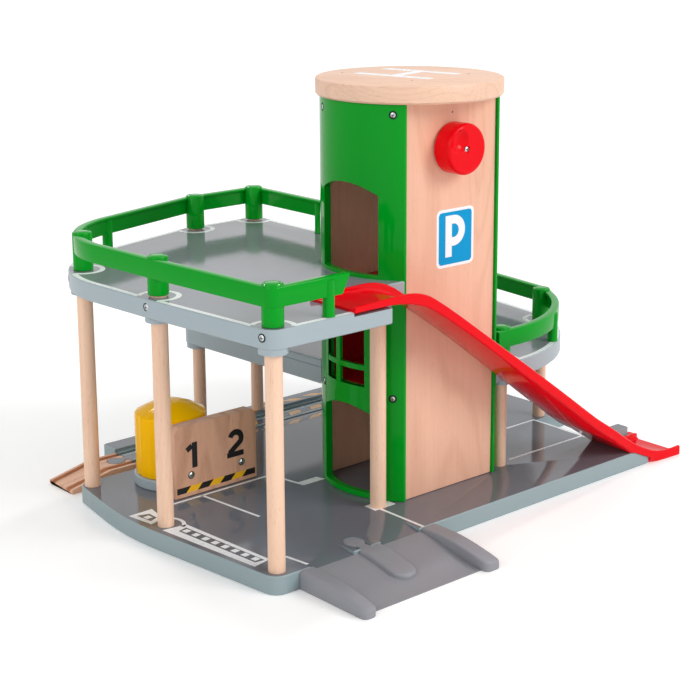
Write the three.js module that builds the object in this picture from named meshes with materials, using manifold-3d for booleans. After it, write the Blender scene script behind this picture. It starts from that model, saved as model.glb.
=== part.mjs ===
// Toy parking garage with a hand-cranked lift: boards, dowels, moulded fences, a round tower.
// Millimetres, Z up. The origin is the lift tower's axis on the floor, X runs along the front.
import * as THREE from 'three';
import { mergeVertices } from 'three/addons/utils/BufferGeometryUtils.js';
import Module from 'manifold-3d';

const wasm = await Module();
wasm.setup();

// Clearances that every piece shares
const fit_gap = 0.3;
const run_gap = 1.2;
const cut_over = 2;
const arc_error = 0.24;
const round_sides = 80;
const turned_sides = 32;
const hole_sides = 20;
const post_sides = 14;
const crank_sides = 16;
const shell_hole_sides = 10;
const cord_sides = 8;

// Base board
const board_thick = 16;
const board_edge = 0.8;
const board_right = 216;
const bevel_run = 22.5;
const bevel_toe_height = 6;
const board_step_y = 22;
const board_back_right = 240;
const back_sweep_x = 137;
const back_sweep_radius = 101;
const left_bow_radius = 300;
const left_bow_x = -257.7;
const left_bow_y = 66;
const strip_left_x = -168;
const strip_front_y = 174.7;
const strip_corner = 3;

// Wooden track along the back of the base
const track_width = 40;
const track_centre_y = 212;
const track_top = 13;
const track_groove_width = 6;
const track_groove_depth = 3;
const track_groove_spacing = 26;
const track_peg_radius = 8;
const track_peg_neck = 6;
const track_peg_reach = 12;
const track_ramp_length = 72;
const track_flat_length = 30;
const track_toe_height = 4;

// Dowels, named by where they stand, and the lobes that the boards have round them
const thick_dowel = 14;
const thin_dowel = 12.5;
const lobe_radius = 12.5;
const boss_depth = 5;
const socket_depth = 8;
const front_left_x = -230;
const mid_left_x = -240.5;
const mid_left_y = 42;
const rear_left_x = -235;
const rear_left_y = 165;
const rear_lobe_radius = 9.7;
const inner_clearance = 12.62;
const inner_bearing = 210.4;
const rear_mid_x = -60.5;
const rear_tower_x = 11.5;
const rear_y = 241;
const front_right_clearance = 7.83;
const front_right_bearing = -30;
const far_right_x = 211.5;
const far_right_y = 31.8;

// Decks
const deck_thick = 16;
const top_deck_top = 215.3;
const mid_deck_top = 117.6;
const deck_round_x = -156;
const deck_round_y = 122;
const deck_round_radius = 103;
const deck_bulge_radius = 14;
const sweep_x = 86;
const sweep_radius = 150;
const far_right_lobe = 13.5;
const mid_left_edge_x_share = 0.785;
const mid_left_edge_y_share = 0.506;
const kerb_height = 6.5;
const kerb_width = 6;

// Slide chute
const chute_tower_gap = 2.8;
const chute_proud = 0.9;
const chute_width = 52.8;
const chute_head_x = -158.4;
const chute_toe_x = 258;
const chute_head_rise = 6.1;
const chute_depth = 16;
const chute_wall = 3.4;
const chute_rim_depth = 9.6;
const chute_channel_depth = 13.4;
const chute_edge = 0.9;
const chute_fillet = 2;
const chute_head_flare = 3;
const chute_toe_flare = 4;
const chute_seat_right = -118.4;
const chute_seat_depth = 3;
const chute_pad_left = -150;
const chute_pad_inset = 9;
const chute_pad_height = 3.2;
const lug_length = 6;
const lug_reach = 5;
const lug_height = 12;

// Block beside the foot of the slide
const stop_right_x = 249.3;
const stop_width = 13;

// Tower
const tower_radius = 79;
const shell_thick = 7;
const shell_half_depth_share = 0.6975;
const panel_face_share = 0.6684;
const panel_half_width_share = 0.6835;
const panel_thick = 7;
const roof_overhang = 3.6;
const roof_underside = 365.4;
const roof_thick = 15.2;
const roof_edge = 1.6;
const ground_sill_rise = 5;
const mid_sill_rise = 0.4;
const top_sill_rise = 2.7;
const door_half_width = 36.5;
const door_shoulder = 69.3;
const door_rise = 9.4;
const window_half_width = 23.9;
const window_foot = 2;
const window_height = 58;
const muntin_thick = 2.6;
const muntin_bar = 3.2;
const shell_screw_bearing = 37;
const shell_screw_radius = 3.1;
const shell_screw_depth = 3;
const shell_screw_top_drop = 8.9;
const shell_screw_mid_drop = 7.6;

// Crank, spool, cord and lift car
const crank_drop = 41.4;
const knob_radius = 22.3;
const knob_thick = 18.7;
const knob_edge = 3;
const dimple_radius = 13;
const dimple_offset = 12;
const dimple_depth = 5;
const shaft_diameter = 6;
const shaft_in_knob = 12;
const bush_wall = 2.4;
const bush_flange = 3;
const bush_flange_thick = 2;
const spool_hub_radius = 12;
const spool_flange_radius = 16;
const spool_width = 12;
const spool_flange_thick = 2.4;
const cord_diameter = 2;
const screw_head_radius = 4;
const screw_head_thick = 1.6;
const screw_shank_radius = 1.6;
const car_wall = 3.5;
const car_floor = 4;
const car_height = 84;
const car_arch_rise = 10;

// Fences
const rail_thick = 5.5;
const rail_height = 16;
const rail_lip = 2;
const rail_proud = 0.6;
const rail_lip_height = 2.6;
const top_rail_lift = 16.2;
const mid_rail_lift = 14.2;
const sleeve_radius = 8.75;
const sleeve_over = 2;
const sleeve_foot_gap = 1.6;
const fence_post_radius = 4.75;
const fence_inset = 2;
const fence_front_end_x = -160;
const fence_post_front_x = -180;
const fence_post_back_x = -178;
const fence_post_tower_y = 146;
const right_fence_end_x = 42;
const rail_end_slope = 10.6;

// Entry ramp
const ramp_left_x = -217;
const ramp_right_x = -68;
const ramp_kerb_left = 14;
const ramp_kerb_right = 17;
const ramp_island_left = -155;
const ramp_island_right = -132;
const ramp_island_length = 50;
const ramp_length = 77;
const ramp_lane_length = 70;
const ramp_lane_drop = 3;
const ramp_flat_length = 29;
const ramp_kerb_toe = 7;
const ramp_lane_toe = 1;
const ramp_corner = 5;
const lead_in_length = 23;
const lane_left_x = -206;
const lane_left_end_x = -160;
const lane_right_x = -131;
const lane_right_end_x = -87;
const peg_x = -146.6;
const peg_y = -92;
const peg_radius = 9;
const peg_neck = 9;

// Wall with the bay numbers, and the round tank behind it
const wall_left_x = -202.4;
const wall_right_x = -112.5;
const wall_face_y = 82;
const wall_thick = 12;
const wall_top = 82;
const wall_corner = 5;
const tank_x = -173;
const tank_y = 129.5;
const tank_radius = 31.5;
const tank_rib = 0.6;
const tank_rib_count = 20;
const tank_foot_radius = 34;
const tank_foot_height = 9.4;
const tank_side_top = 78;
const tank_top = 87;
const tank_roof_radius = 12;

// Places worked out from the sizes above. Bearings are in degrees round the tower's axis.
const degrees = Math.PI / 180;
const shell_half_depth = tower_radius * shell_half_depth_share;
const panel_face = tower_radius * panel_face_share;
const panel_half_width = tower_radius * panel_half_width_share;
const roof_radius = tower_radius + roof_overhang;
const chute_back_y = -panel_face - chute_tower_gap;
const chute_front_y = chute_back_y - chute_width;
const front_y = chute_front_y + chute_proud;
const front_left_y = front_y + lobe_radius;
const back_y = rear_y + lobe_radius;
const inner_reach = tower_radius + inner_clearance;
const inner_x = inner_reach * Math.cos(inner_bearing * degrees);
const inner_y = inner_reach * Math.sin(inner_bearing * degrees);
const front_right_reach = tower_radius + front_right_clearance;
const front_right_x = front_right_reach * Math.cos(front_right_bearing * degrees);
const front_right_y = front_right_reach * Math.sin(front_right_bearing * degrees);
const mid_left_edge_x = -tower_radius * mid_left_edge_x_share;
const mid_left_edge_y = tower_radius * mid_left_edge_y_share;
const lane_back_y = chute_back_y + fit_gap;
const chute_head_height = top_deck_top + chute_head_rise;
const shell_foot = board_thick + fit_gap;
const shell_top = roof_underside - fit_gap;
const ground_sill = board_thick + ground_sill_rise;
const mid_sill = mid_deck_top + mid_sill_rise;
const top_sill = top_deck_top + top_sill_rise;
const crank_height = roof_underside - crank_drop;
const cord_x = spool_hub_radius + fit_gap + cord_diameter / 2;

// Materials
const paint = (colour, roughness, metalness = 0) =>
  new THREE.MeshStandardMaterial({ color: colour, roughness, metalness });
const beech = () => paint(0xeec0a5, 0.55);
const grey_board = () => paint(0x969aa2, 0.35);
const green_plastic = () => paint(0x009632, 0.3);
const red_plastic = () => paint(0xff0019, 0.28);
const yellow_plastic = () => paint(0xffb800, 0.35);
const steel = () => paint(0xc8cacc, 0.3, 1);
const white_cord = () => paint(0xe8e4d8, 0.9);

// Solid tools
function toSolid(geometry) {
  const bare = geometry.clone();
  bare.deleteAttribute('normal');
  bare.deleteAttribute('uv');
  const merged = mergeVertices(bare);
  return new wasm.Manifold(new wasm.Mesh({
    numProp: 3,
    vertProperties: new Float32Array(merged.attributes.position.array),
    triVerts: new Uint32Array(merged.index.array),
  }));
}

function fromSolid(solid) {
  const cut = solid.getMesh();
  const geometry = new THREE.BufferGeometry();
  geometry.setAttribute('position', new THREE.BufferAttribute(cut.vertProperties, 3));
  geometry.setIndex(new THREE.BufferAttribute(cut.triVerts, 1));
  geometry.computeVertexNormals();
  return geometry;
}

function block(x0, x1, y0, y1, z0, z1) {
  const geometry = new THREE.BoxGeometry(x1 - x0, y1 - y0, z1 - z0);
  geometry.translate((x0 + x1) / 2, (y0 + y1) / 2, (z0 + z1) / 2);
  return toSolid(geometry);
}

function rod(x, y, radius, z0, z1, sides = turned_sides) {
  const geometry = new THREE.CylinderGeometry(radius, radius, z1 - z0, sides);
  geometry.rotateX(Math.PI / 2);
  geometry.translate(x, y, (z0 + z1) / 2);
  return toSolid(geometry);
}

// A turned solid about the vertical line through x, y. The profile is [radius, height] pairs.
function turned(x, y, profile, sides = turned_sides) {
  const geometry = new THREE.LatheGeometry(profile.map(([r, z]) => new THREE.Vector2(r, z)), sides);
  geometry.rotateX(Math.PI / 2);
  geometry.translate(x, y, 0);
  return toSolid(geometry);
}

// A turned solid about the crank's axis, which lies along Y. The profile is [radius, y] pairs.
function turnedOnCrank(profile, sides = crank_sides) {
  const geometry = new THREE.LatheGeometry(profile.map(([r, y]) => new THREE.Vector2(r, y)), sides);
  geometry.translate(0, 0, crank_height);
  return toSolid(geometry);
}

// An upright plate whose plan is a list of points, with both rims eased by edge.
function plate(points, z0, z1, edge = 0) {
  const geometry = new THREE.ExtrudeGeometry(new THREE.Shape(points), {
    depth: z1 - z0 - 2 * edge,
    bevelEnabled: edge > 0,
    bevelThickness: edge,
    bevelSize: edge,
    bevelOffset: -edge,
    bevelSegments: 1,
  });
  geometry.translate(0, 0, z0 + edge);
  return toSolid(geometry);
}

// A bar whose section in Y and Z is a list of points, from x0 to x1.
function barAlongX(points, x0, x1) {
  const geometry = new THREE.ExtrudeGeometry(new THREE.Shape(points), {
    depth: x1 - x0,
    bevelEnabled: false,
  });
  const turn = new THREE.Matrix4().makeBasis(
    new THREE.Vector3(0, 1, 0), new THREE.Vector3(0, 0, 1), new THREE.Vector3(1, 0, 0));
  geometry.applyMatrix4(turn);
  geometry.translate(x0, 0, 0);
  return toSolid(geometry);
}

// A bar whose section in X and Z is a list of points, from y0 to y1.
function barAlongY(points, y0, y1) {
  const geometry = new THREE.ExtrudeGeometry(new THREE.Shape(points), {
    depth: y1 - y0,
    bevelEnabled: false,
  });
  const turn = new THREE.Matrix4().makeBasis(
    new THREE.Vector3(1, 0, 0), new THREE.Vector3(0, 0, 1), new THREE.Vector3(0, -1, 0));
  geometry.applyMatrix4(turn);
  geometry.translate(0, y1, 0);
  return toSolid(geometry);
}

// A solid through a row of rings along X. Each ring has the same count of points, and runs
// anticlockwise as seen from the far end of the row.
function loft(rings) {
  const count = rings[0].length;
  const last = (rings.length - 1) * count;
  const index = [];
  for (let ring = 0; ring < last; ring += count) {
    for (let k = 0; k < count; k += 1) {
      const a = ring + k;
      const b = ring + ((k + 1) % count);
      index.push(a, b, b + count, a, b + count, a + count);
    }
  }
  const cap = (ring) => THREE.ShapeUtils.triangulateShape(ring.map((p) => at(p.y, p.z)), []);
  for (const [a, b, c] of cap(rings[0])) index.push(c, b, a);
  for (const [a, b, c] of cap(rings[rings.length - 1])) index.push(last + a, last + b, last + c);
  return new wasm.Manifold(new wasm.Mesh({
    numProp: 3,
    vertProperties: new Float32Array(rings.flat().flatMap((p) => p.toArray())),
    triVerts: new Uint32Array(index),
  }));
}

const at = (x, y) => new THREE.Vector2(x, y);
const almost_straight = 10 * degrees;

// A line drawn like a belt round a row of circles [x, y, radius], anticlockwise. A radius of
// zero is a sharp corner, and a negative one is a hollow that the belt passes on its outside.
function belt(circles, closed = true) {
  const count = circles.length;
  const last = closed ? count : count - 1;
  const headings = [];
  for (let i = 0; i < last; i += 1) {
    const [ax, ay, ar] = circles[i];
    const [bx, by, br] = circles[(i + 1) % count];
    const reach = Math.hypot(bx - ax, by - ay);
    headings.push(Math.atan2(by - ay, bx - ax) - Math.asin((br - ar) / reach));
  }
  const points = [];
  for (let i = 0; i < count; i += 1) {
    const [x, y, radius] = circles[i];
    const open_end = !closed && (i === 0 || i === count - 1);
    if (radius === 0 || open_end) {
      points.push(at(x, y));
      continue;
    }
    const into = headings[(i - 1 + count) % count];
    const out = headings[i];
    let turn = Math.atan2(Math.sin(out - into), Math.cos(out - into));
    if (turn * radius < 0 && Math.abs(turn) > almost_straight) {
      turn += Math.sign(radius) * 2 * Math.PI;
    }
    const arc_step = 2 * Math.acos(1 - arc_error / Math.abs(radius));
    const steps = turn * radius > 0 ? Math.ceil(Math.abs(turn) / arc_step) : 0;
    for (let k = 0; k <= steps; k += 1) {
      const heading = into + turn * (steps > 0 ? k / steps : 0.5);
      points.push(at(x + radius * Math.sin(heading), y - radius * Math.cos(heading)));
    }
  }
  return points;
}

// The plan of a strip that lies to the left of a line of points.
function stripPlan(line, width) {
  const normals = line.map((p, i) => {
    const before = line[Math.max(0, i - 1)];
    const after = line[Math.min(line.length - 1, i + 1)];
    const first = p.clone().sub(before);
    const second = after.clone().sub(p);
    if (first.length() === 0) first.copy(second);
    if (second.length() === 0) second.copy(first);
    const along = first.normalize().add(second.normalize()).normalize();
    const cosine = Math.max(first.dot(along), 0.5);
    return at(-along.y, along.x).divideScalar(cosine);
  });
  const inner = line.map((p, i) => p.clone().addScaledVector(normals[i], width));
  return [...line, ...inner.reverse()];
}

// The upright outline of a doorway or window with a low arch, as points in Y and Z.
function archOutline(half_width, sill, shoulder, rise, steps = 8) {
  const radius = (half_width ** 2 + rise ** 2) / (2 * rise);
  const spread = Math.asin(half_width / radius);
  const points = [at(-half_width, sill), at(half_width, sill)];
  for (let k = 0; k <= steps; k += 1) {
    const angle = spread * (1 - (2 * k) / steps);
    points.push(at(radius * Math.sin(angle), shoulder + rise - radius * (1 - Math.cos(angle))));
  }
  return points;
}

const group = new THREE.Group();
function add(name, solid, material) {
  const mesh = new THREE.Mesh(fromSolid(solid), material);
  mesh.name = name;
  group.add(mesh);
  return mesh;
}

// The tower's footprint with its gap, cut out of every board and fence that meets the tower
const tower_room = rod(0, 0, tower_radius + fit_gap, 0, roof_underside, round_sides).intersect(
  block(-roof_radius, roof_radius, -shell_half_depth - fit_gap, shell_half_depth + fit_gap,
    0, roof_underside));

// The lane that the slide runs down, kept clear through both decks
const lane_front_y = front_y - cut_over;
const slide_lane = block(chute_seat_right, chute_toe_x, lane_front_y, lane_back_y,
  board_thick + fit_gap, roof_underside);

const socket = (x, y, diameter, z0, z1) => rod(x, y, diameter / 2 + fit_gap, z0, z1, hole_sides);

// Base board: one thick board with rounded lobes, a bevelled right end and a routed track
const dowels = [
  ['dowel_front_left', front_left_x, front_left_y, thick_dowel, 'top'],
  ['dowel_mid_left', mid_left_x, mid_left_y, thick_dowel, 'top'],
  ['dowel_rear_left', rear_left_x, rear_left_y, thick_dowel, 'top'],
  ['dowel_beside_slide', inner_x, inner_y, thick_dowel, 'under_top'],
  ['dowel_rear_middle', rear_mid_x, rear_y, thin_dowel, 'top'],
  ['dowel_rear_tower', rear_tower_x, rear_y, thin_dowel, 'top'],
  ['dowel_front_right', front_right_x, front_right_y, thin_dowel, 'mid'],
  ['dowel_far_right', far_right_x, far_right_y, thin_dowel, 'mid'],
];
const socket_floor = board_thick - socket_depth;

const board_plan = belt([
  [front_left_x, front_left_y, lobe_radius],
  [board_right, front_y, 0],
  [board_right, board_step_y, 0],
  [board_back_right, board_step_y, 0],
  [back_sweep_x, back_y - back_sweep_radius, back_sweep_radius],
  [strip_left_x + strip_corner, back_y - strip_corner, strip_corner],
  [strip_left_x, strip_front_y, 0],
  [rear_left_x, strip_front_y - rear_lobe_radius, rear_lobe_radius],
  [left_bow_x + left_bow_radius, left_bow_y, left_bow_radius],
]);
let board = plate(board_plan, 0, board_thick, board_edge);
const track_front = track_centre_y - track_width / 2 - fit_gap;
const track_back = track_centre_y + track_width / 2 + fit_gap;
const board_far = board_back_right + cut_over;
board = board.subtract(
  block(strip_left_x - cut_over, board_far, track_front, track_back, track_top, board_thick + cut_over));
for (const side of [-1, 1]) {
  const groove_y = track_centre_y + (side * track_groove_spacing) / 2;
  board = board.subtract(
    block(strip_left_x - cut_over, board_far, groove_y - track_groove_width / 2,
      groove_y + track_groove_width / 2, track_top - track_groove_depth, board_thick + cut_over));
}
const track_peg_x = strip_left_x - track_peg_reach;
board = board
  .add(rod(track_peg_x, track_centre_y, track_peg_radius, 0, track_top, hole_sides))
  .add(block(track_peg_x, strip_left_x + cut_over, track_centre_y - track_peg_neck / 2,
    track_centre_y + track_peg_neck / 2, 0, track_top));

const bevel_start_x = board_right - bevel_run;
const bevel_slope = (board_thick - bevel_toe_height) / bevel_run;
const bevelCut = (lift) => [
  at(bevel_start_x, board_thick + lift),
  at(board_right + cut_over, bevel_toe_height + lift - bevel_slope * cut_over),
  at(board_right + cut_over, board_thick + lift + cut_over),
  at(bevel_start_x, board_thick + lift + cut_over),
];
board = board.subtract(barAlongY(bevelCut(0), front_y - cut_over, board_step_y));

const lead_in = [
  at(front_y + lead_in_length, board_thick),
  at(front_y - cut_over, board_thick - ramp_lane_drop * (1 + cut_over / lead_in_length)),
  at(front_y - cut_over, board_thick + cut_over),
  at(front_y + lead_in_length, board_thick + cut_over),
];
board = board.subtract(barAlongX(lead_in, lane_left_x, lane_left_end_x));
board = board.subtract(barAlongX(lead_in, lane_right_x, lane_right_end_x));

function pegPlan(grow) {
  return belt([
    [peg_x, peg_y, peg_radius + grow],
    [peg_x - peg_neck / 2 - grow, front_y, 0],
    [peg_x - peg_neck / 2 - grow, front_y - cut_over, 0],
    [peg_x + peg_neck / 2 + grow, front_y - cut_over, 0],
    [peg_x + peg_neck / 2 + grow, front_y, 0],
  ]);
}
board = board.subtract(plate(pegPlan(fit_gap), -cut_over, board_thick + cut_over));
for (const [, x, y, diameter] of dowels) {
  board = board.subtract(socket(x, y, diameter, socket_floor, board_thick + cut_over));
}
add('base_board', board, grey_board());

// Block beside the slide's foot, glued to the board's right end
const stop_front_y = lane_back_y + run_gap;
add('slide_stop', block(board_right + fit_gap, stop_right_x, stop_front_y,
  stop_front_y + stop_width, 0, board_thick), grey_board());

// Short wooden ramp of track that hooks on the board's peg
const track_right_x = strip_left_x - fit_gap;
const track_left_x = track_right_x - track_ramp_length;
const track_slope_x = track_right_x - track_flat_length;
let track = barAlongY([
  at(track_left_x, 0),
  at(track_right_x, 0),
  at(track_right_x, track_top),
  at(track_slope_x, track_top),
  at(track_left_x, track_toe_height),
], track_centre_y - track_width / 2, track_centre_y + track_width / 2);
const track_slope = (track_top - track_toe_height) / (track_slope_x - track_left_x);
const groove_section = [
  at(track_left_x - cut_over, track_toe_height - track_groove_depth - track_slope * cut_over),
  at(track_slope_x, track_top - track_groove_depth),
  at(track_right_x + cut_over, track_top - track_groove_depth),
  at(track_right_x + cut_over, track_top + cut_over),
  at(track_left_x - cut_over, track_top + cut_over),
];
for (const side of [-1, 1]) {
  const groove_y = track_centre_y + (side * track_groove_spacing) / 2;
  track = track.subtract(barAlongY(groove_section, groove_y - track_groove_width / 2,
    groove_y + track_groove_width / 2));
}
track = track
  .subtract(rod(track_peg_x, track_centre_y, track_peg_radius + 2 * fit_gap, -cut_over,
    track_top + cut_over, hole_sides))
  .subtract(block(track_peg_x, track_right_x + cut_over,
    track_centre_y - track_peg_neck / 2 - 2 * fit_gap,
    track_centre_y + track_peg_neck / 2 + 2 * fit_gap, -cut_over, track_top + cut_over));
add('track_ramp', track, beech());

// Entry ramp: two lanes between kerbs, an island, and a peg that drops into the board
const ramp_back_y = front_y - fit_gap;
const ramp_front_y = ramp_back_y - ramp_length;
const ramp_lane_front_y = ramp_back_y - ramp_lane_length;
const ease_shares = [0, 0.2, 0.4, 0.6, 0.8, 1];
const easeCurve = (start_y, end_y, start_z, end_z) => ease_shares.map((share) =>
  at(start_y + (end_y - start_y) * share,
    end_z + (start_z - end_z) * 0.5 * (1 + Math.cos(Math.PI * share))));
const kerb_turn_y = ramp_back_y - ramp_flat_length;
const kerb_section = [
  at(ramp_front_y, 0),
  at(ramp_back_y, 0),
  at(ramp_back_y, board_thick),
  ...easeCurve(kerb_turn_y, ramp_front_y, board_thick, ramp_kerb_toe),
];
const ramp_plan = belt([
  [ramp_left_x + ramp_corner, ramp_front_y + ramp_corner, ramp_corner],
  [ramp_right_x - ramp_corner, ramp_front_y + ramp_corner, ramp_corner],
  [ramp_right_x, ramp_back_y, 0],
  [ramp_left_x, ramp_back_y, 0],
]);
const lane_top = board_thick - ramp_lane_drop;
const lane_section = [
  at(ramp_back_y + cut_over, board_thick + cut_over),
  at(ramp_back_y + cut_over, lane_top),
  ...easeCurve(ramp_back_y, ramp_lane_front_y, lane_top, ramp_lane_toe),
  at(ramp_lane_front_y, 0 - cut_over),
  at(ramp_front_y - cut_over, 0 - cut_over),
  at(ramp_front_y - cut_over, board_thick + cut_over),
].reverse();
const island_half = (ramp_island_right - ramp_island_left) / 2;
const island_plan = belt([
  [ramp_island_left + island_half, ramp_back_y - ramp_island_length + island_half, island_half],
  [ramp_island_right, ramp_back_y + 2 * cut_over, 0],
  [ramp_island_left, ramp_back_y + 2 * cut_over, 0],
]);
const lanes = barAlongX(lane_section, ramp_left_x + ramp_kerb_left, ramp_right_x - ramp_kerb_right)
  .subtract(plate(island_plan, 0, board_thick + 2 * cut_over));
const ramp = barAlongX(kerb_section, ramp_left_x, ramp_right_x)
  .intersect(plate(ramp_plan, 0, board_thick + cut_over))
  .subtract(lanes)
  .add(plate(pegPlan(0), 0, board_thick));
add('entry_ramp', ramp, grey_board());

// Dowels: plain beech rods, chamfered, standing in blind sockets
const top_boss_foot = top_deck_top - deck_thick - boss_depth;
const mid_boss_foot = mid_deck_top - deck_thick - boss_depth;
const top_rail_foot = top_deck_top + top_rail_lift;
const mid_rail_foot = mid_deck_top + mid_rail_lift;
const dowel_ends = {
  top: top_rail_foot + rail_height - rail_lip_height - fit_gap,
  under_top: top_deck_top - deck_thick + socket_depth - fit_gap,
  mid: mid_rail_foot + rail_height - rail_lip_height - fit_gap,
};
const dowel_chamfer = 0.8;
for (const [name, x, y, diameter, kind] of dowels) {
  const radius = diameter / 2;
  const foot = socket_floor + fit_gap;
  const head = dowel_ends[kind];
  add(name, turned(x, y, [
    [0, foot],
    [radius - dowel_chamfer, foot],
    [radius, foot + dowel_chamfer],
    [radius, head - dowel_chamfer],
    [radius - dowel_chamfer, head],
    [0, head],
  ], hole_sides), beech());
}

// Top deck: a board on lobed bosses, cut back for the slide and the tower
const top_deck_plan = belt([
  [front_left_x, front_left_y, lobe_radius],
  [chute_seat_right, front_y, 0],
  [chute_seat_right, lane_back_y, 0],
  [0, lane_back_y, 0],
  [rear_tower_x + lobe_radius, 0, 0],
  [rear_tower_x, rear_y, lobe_radius],
  [rear_mid_x, rear_y, lobe_radius],
  [deck_round_x, deck_round_y, deck_round_radius],
  [mid_left_x, mid_left_y, deck_bulge_radius],
]);
let top_deck = plate(top_deck_plan, top_deck_top - deck_thick, top_deck_top, board_edge);
for (const [, x, y, , kind] of dowels) {
  if (kind === 'mid') continue;
  top_deck = top_deck.add(rod(x, y, lobe_radius - board_edge, top_boss_foot, top_deck_top - board_edge,
    hole_sides));
}
for (const [, x, y, diameter, kind] of dowels) {
  const end = kind === 'top' ? top_deck_top + cut_over : dowel_ends.under_top + fit_gap;
  if (kind !== 'mid') {
    top_deck = top_deck.subtract(socket(x, y, diameter, top_boss_foot - cut_over, end));
  }
}
const seat_floor = top_deck_top - chute_seat_depth;
top_deck = top_deck
  .subtract(tower_room)
  .subtract(slide_lane)
  .subtract(block(chute_head_x - fit_gap, chute_seat_right + cut_over, lane_front_y,
    lane_back_y + chute_head_flare, seat_floor, top_deck_top + cut_over));
add('top_deck', top_deck, grey_board());

// Mid deck: wraps the back and the right of the tower, with a raised kerb on its left edge
const mid_deck_plan = belt([
  [0, front_right_y - lobe_radius, 0],
  [sweep_x, front_right_y - lobe_radius + sweep_radius, sweep_radius],
  [far_right_x, far_right_y, far_right_lobe],
  [back_sweep_x, back_y - back_sweep_radius, back_sweep_radius],
  [rear_mid_x, rear_y, lobe_radius],
  [mid_left_edge_x, mid_left_edge_y, 0],
  [0, 0, 0],
]);
const mid_deck_floor = mid_deck_top - deck_thick;
let mid_deck = plate(mid_deck_plan, mid_deck_floor, mid_deck_top, board_edge);
const [lobe_end, kerb_end] = belt([
  [rear_mid_x + lobe_radius, back_y, 0],
  [rear_mid_x, rear_y, lobe_radius],
  [mid_left_edge_x, mid_left_edge_y, 0],
], false).slice(-2);
const kerb_start = lobe_end.clone().lerp(kerb_end, lobe_radius / lobe_end.distanceTo(kerb_end));
const kerb_plan = stripPlan([kerb_start, kerb_end], kerb_width)
  .map((p) => at(p.x + board_edge, p.y));
mid_deck = mid_deck.add(
  plate(kerb_plan, mid_deck_top - cut_over, mid_deck_top + kerb_height, board_edge));
const carries_mid = (y) => y === rear_y || y === front_right_y || y === far_right_y;
for (const [, x, y] of dowels) {
  if (carries_mid(y)) {
    mid_deck = mid_deck.add(
      rod(x, y, lobe_radius - board_edge, mid_boss_foot, mid_deck_top - board_edge, hole_sides));
  }
}
for (const [, x, y, diameter] of dowels) {
  if (carries_mid(y)) {
    mid_deck = mid_deck.subtract(
      socket(x, y, diameter, mid_boss_foot - cut_over, mid_deck_top + kerb_height + cut_over));
  }
}
mid_deck = mid_deck.subtract(tower_room).subtract(slide_lane);
add('mid_deck', mid_deck, grey_board());

// Fences: one moulding each, a rail with an inner lip, sleeves over the dowels, thin posts
function rail(line, foot) {
  return plate(stripPlan(line, rail_thick), foot, foot + rail_height, board_edge)
    .add(plate(stripPlan(line, rail_thick + rail_lip), foot + rail_height - rail_lip_height,
      foot + rail_height));
}

function sleeve(x, y, deck_top, rail_foot) {
  return turned(x, y, [
    [0, deck_top + sleeve_foot_gap],
    [sleeve_radius, deck_top + sleeve_foot_gap],
    [sleeve_radius, rail_foot + rail_height],
    [sleeve_radius - sleeve_over, rail_foot + rail_height + sleeve_over],
    [0, rail_foot + rail_height + sleeve_over],
  ], hole_sides);
}

const thinPost = (x, y, deck_top, rail_foot) =>
  rod(x, y, fence_post_radius, deck_top + fit_gap, rail_foot + rail_height - rail_lip_height,
    post_sides);

const rail_turn = sleeve_radius + rail_proud;
const round_rail = deck_round_radius - (lobe_radius - rail_turn) - fence_inset;
const top_rail_line = belt([
  [rear_tower_x + rail_turn, panel_face + fit_gap, 0],
  [rear_tower_x, rear_y, rail_turn],
  [rear_mid_x, rear_y, rail_turn],
  [deck_round_x, deck_round_y, round_rail],
  [mid_left_x, mid_left_y, rail_turn],
  [front_left_x, front_left_y, rail_turn],
  [fence_front_end_x, front_left_y - rail_turn, 0],
], false);
let top_fence = rail(top_rail_line, top_rail_foot);
for (const [, x, y, , kind] of dowels) {
  if (kind === 'top') top_fence = top_fence.add(sleeve(x, y, top_deck_top, top_rail_foot));
}
const rail_middle = rail_thick / 2;
const fence_post_back_y = deck_round_y
  + Math.sqrt((round_rail - rail_middle) ** 2 - (fence_post_back_x - deck_round_x) ** 2);
const top_fence_posts = [
  [fence_post_front_x, front_left_y - rail_turn + rail_middle],
  [fence_post_back_x, fence_post_back_y],
  [rear_tower_x + rail_turn - rail_middle, fence_post_tower_y],
];
for (const [x, y] of top_fence_posts) {
  top_fence = top_fence.add(thinPost(x, y, top_deck_top, top_rail_foot));
}
for (const [, x, y, diameter, kind] of dowels) {
  if (kind === 'top') {
    top_fence = top_fence.subtract(socket(x, y, diameter, top_deck_top, dowel_ends.top + fit_gap));
  }
}
const rail_end_cut = [
  at(fence_front_end_x - rail_end_slope, top_rail_foot - cut_over),
  at(fence_front_end_x + cut_over, top_rail_foot - cut_over),
  at(fence_front_end_x + cut_over, top_rail_foot + rail_height),
  at(fence_front_end_x, top_rail_foot + rail_height),
];
top_fence = top_fence.subtract(
  barAlongY(rail_end_cut, front_y - cut_over, front_left_y + sleeve_radius + cut_over));
add('top_fence', top_fence, green_plastic());

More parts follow.
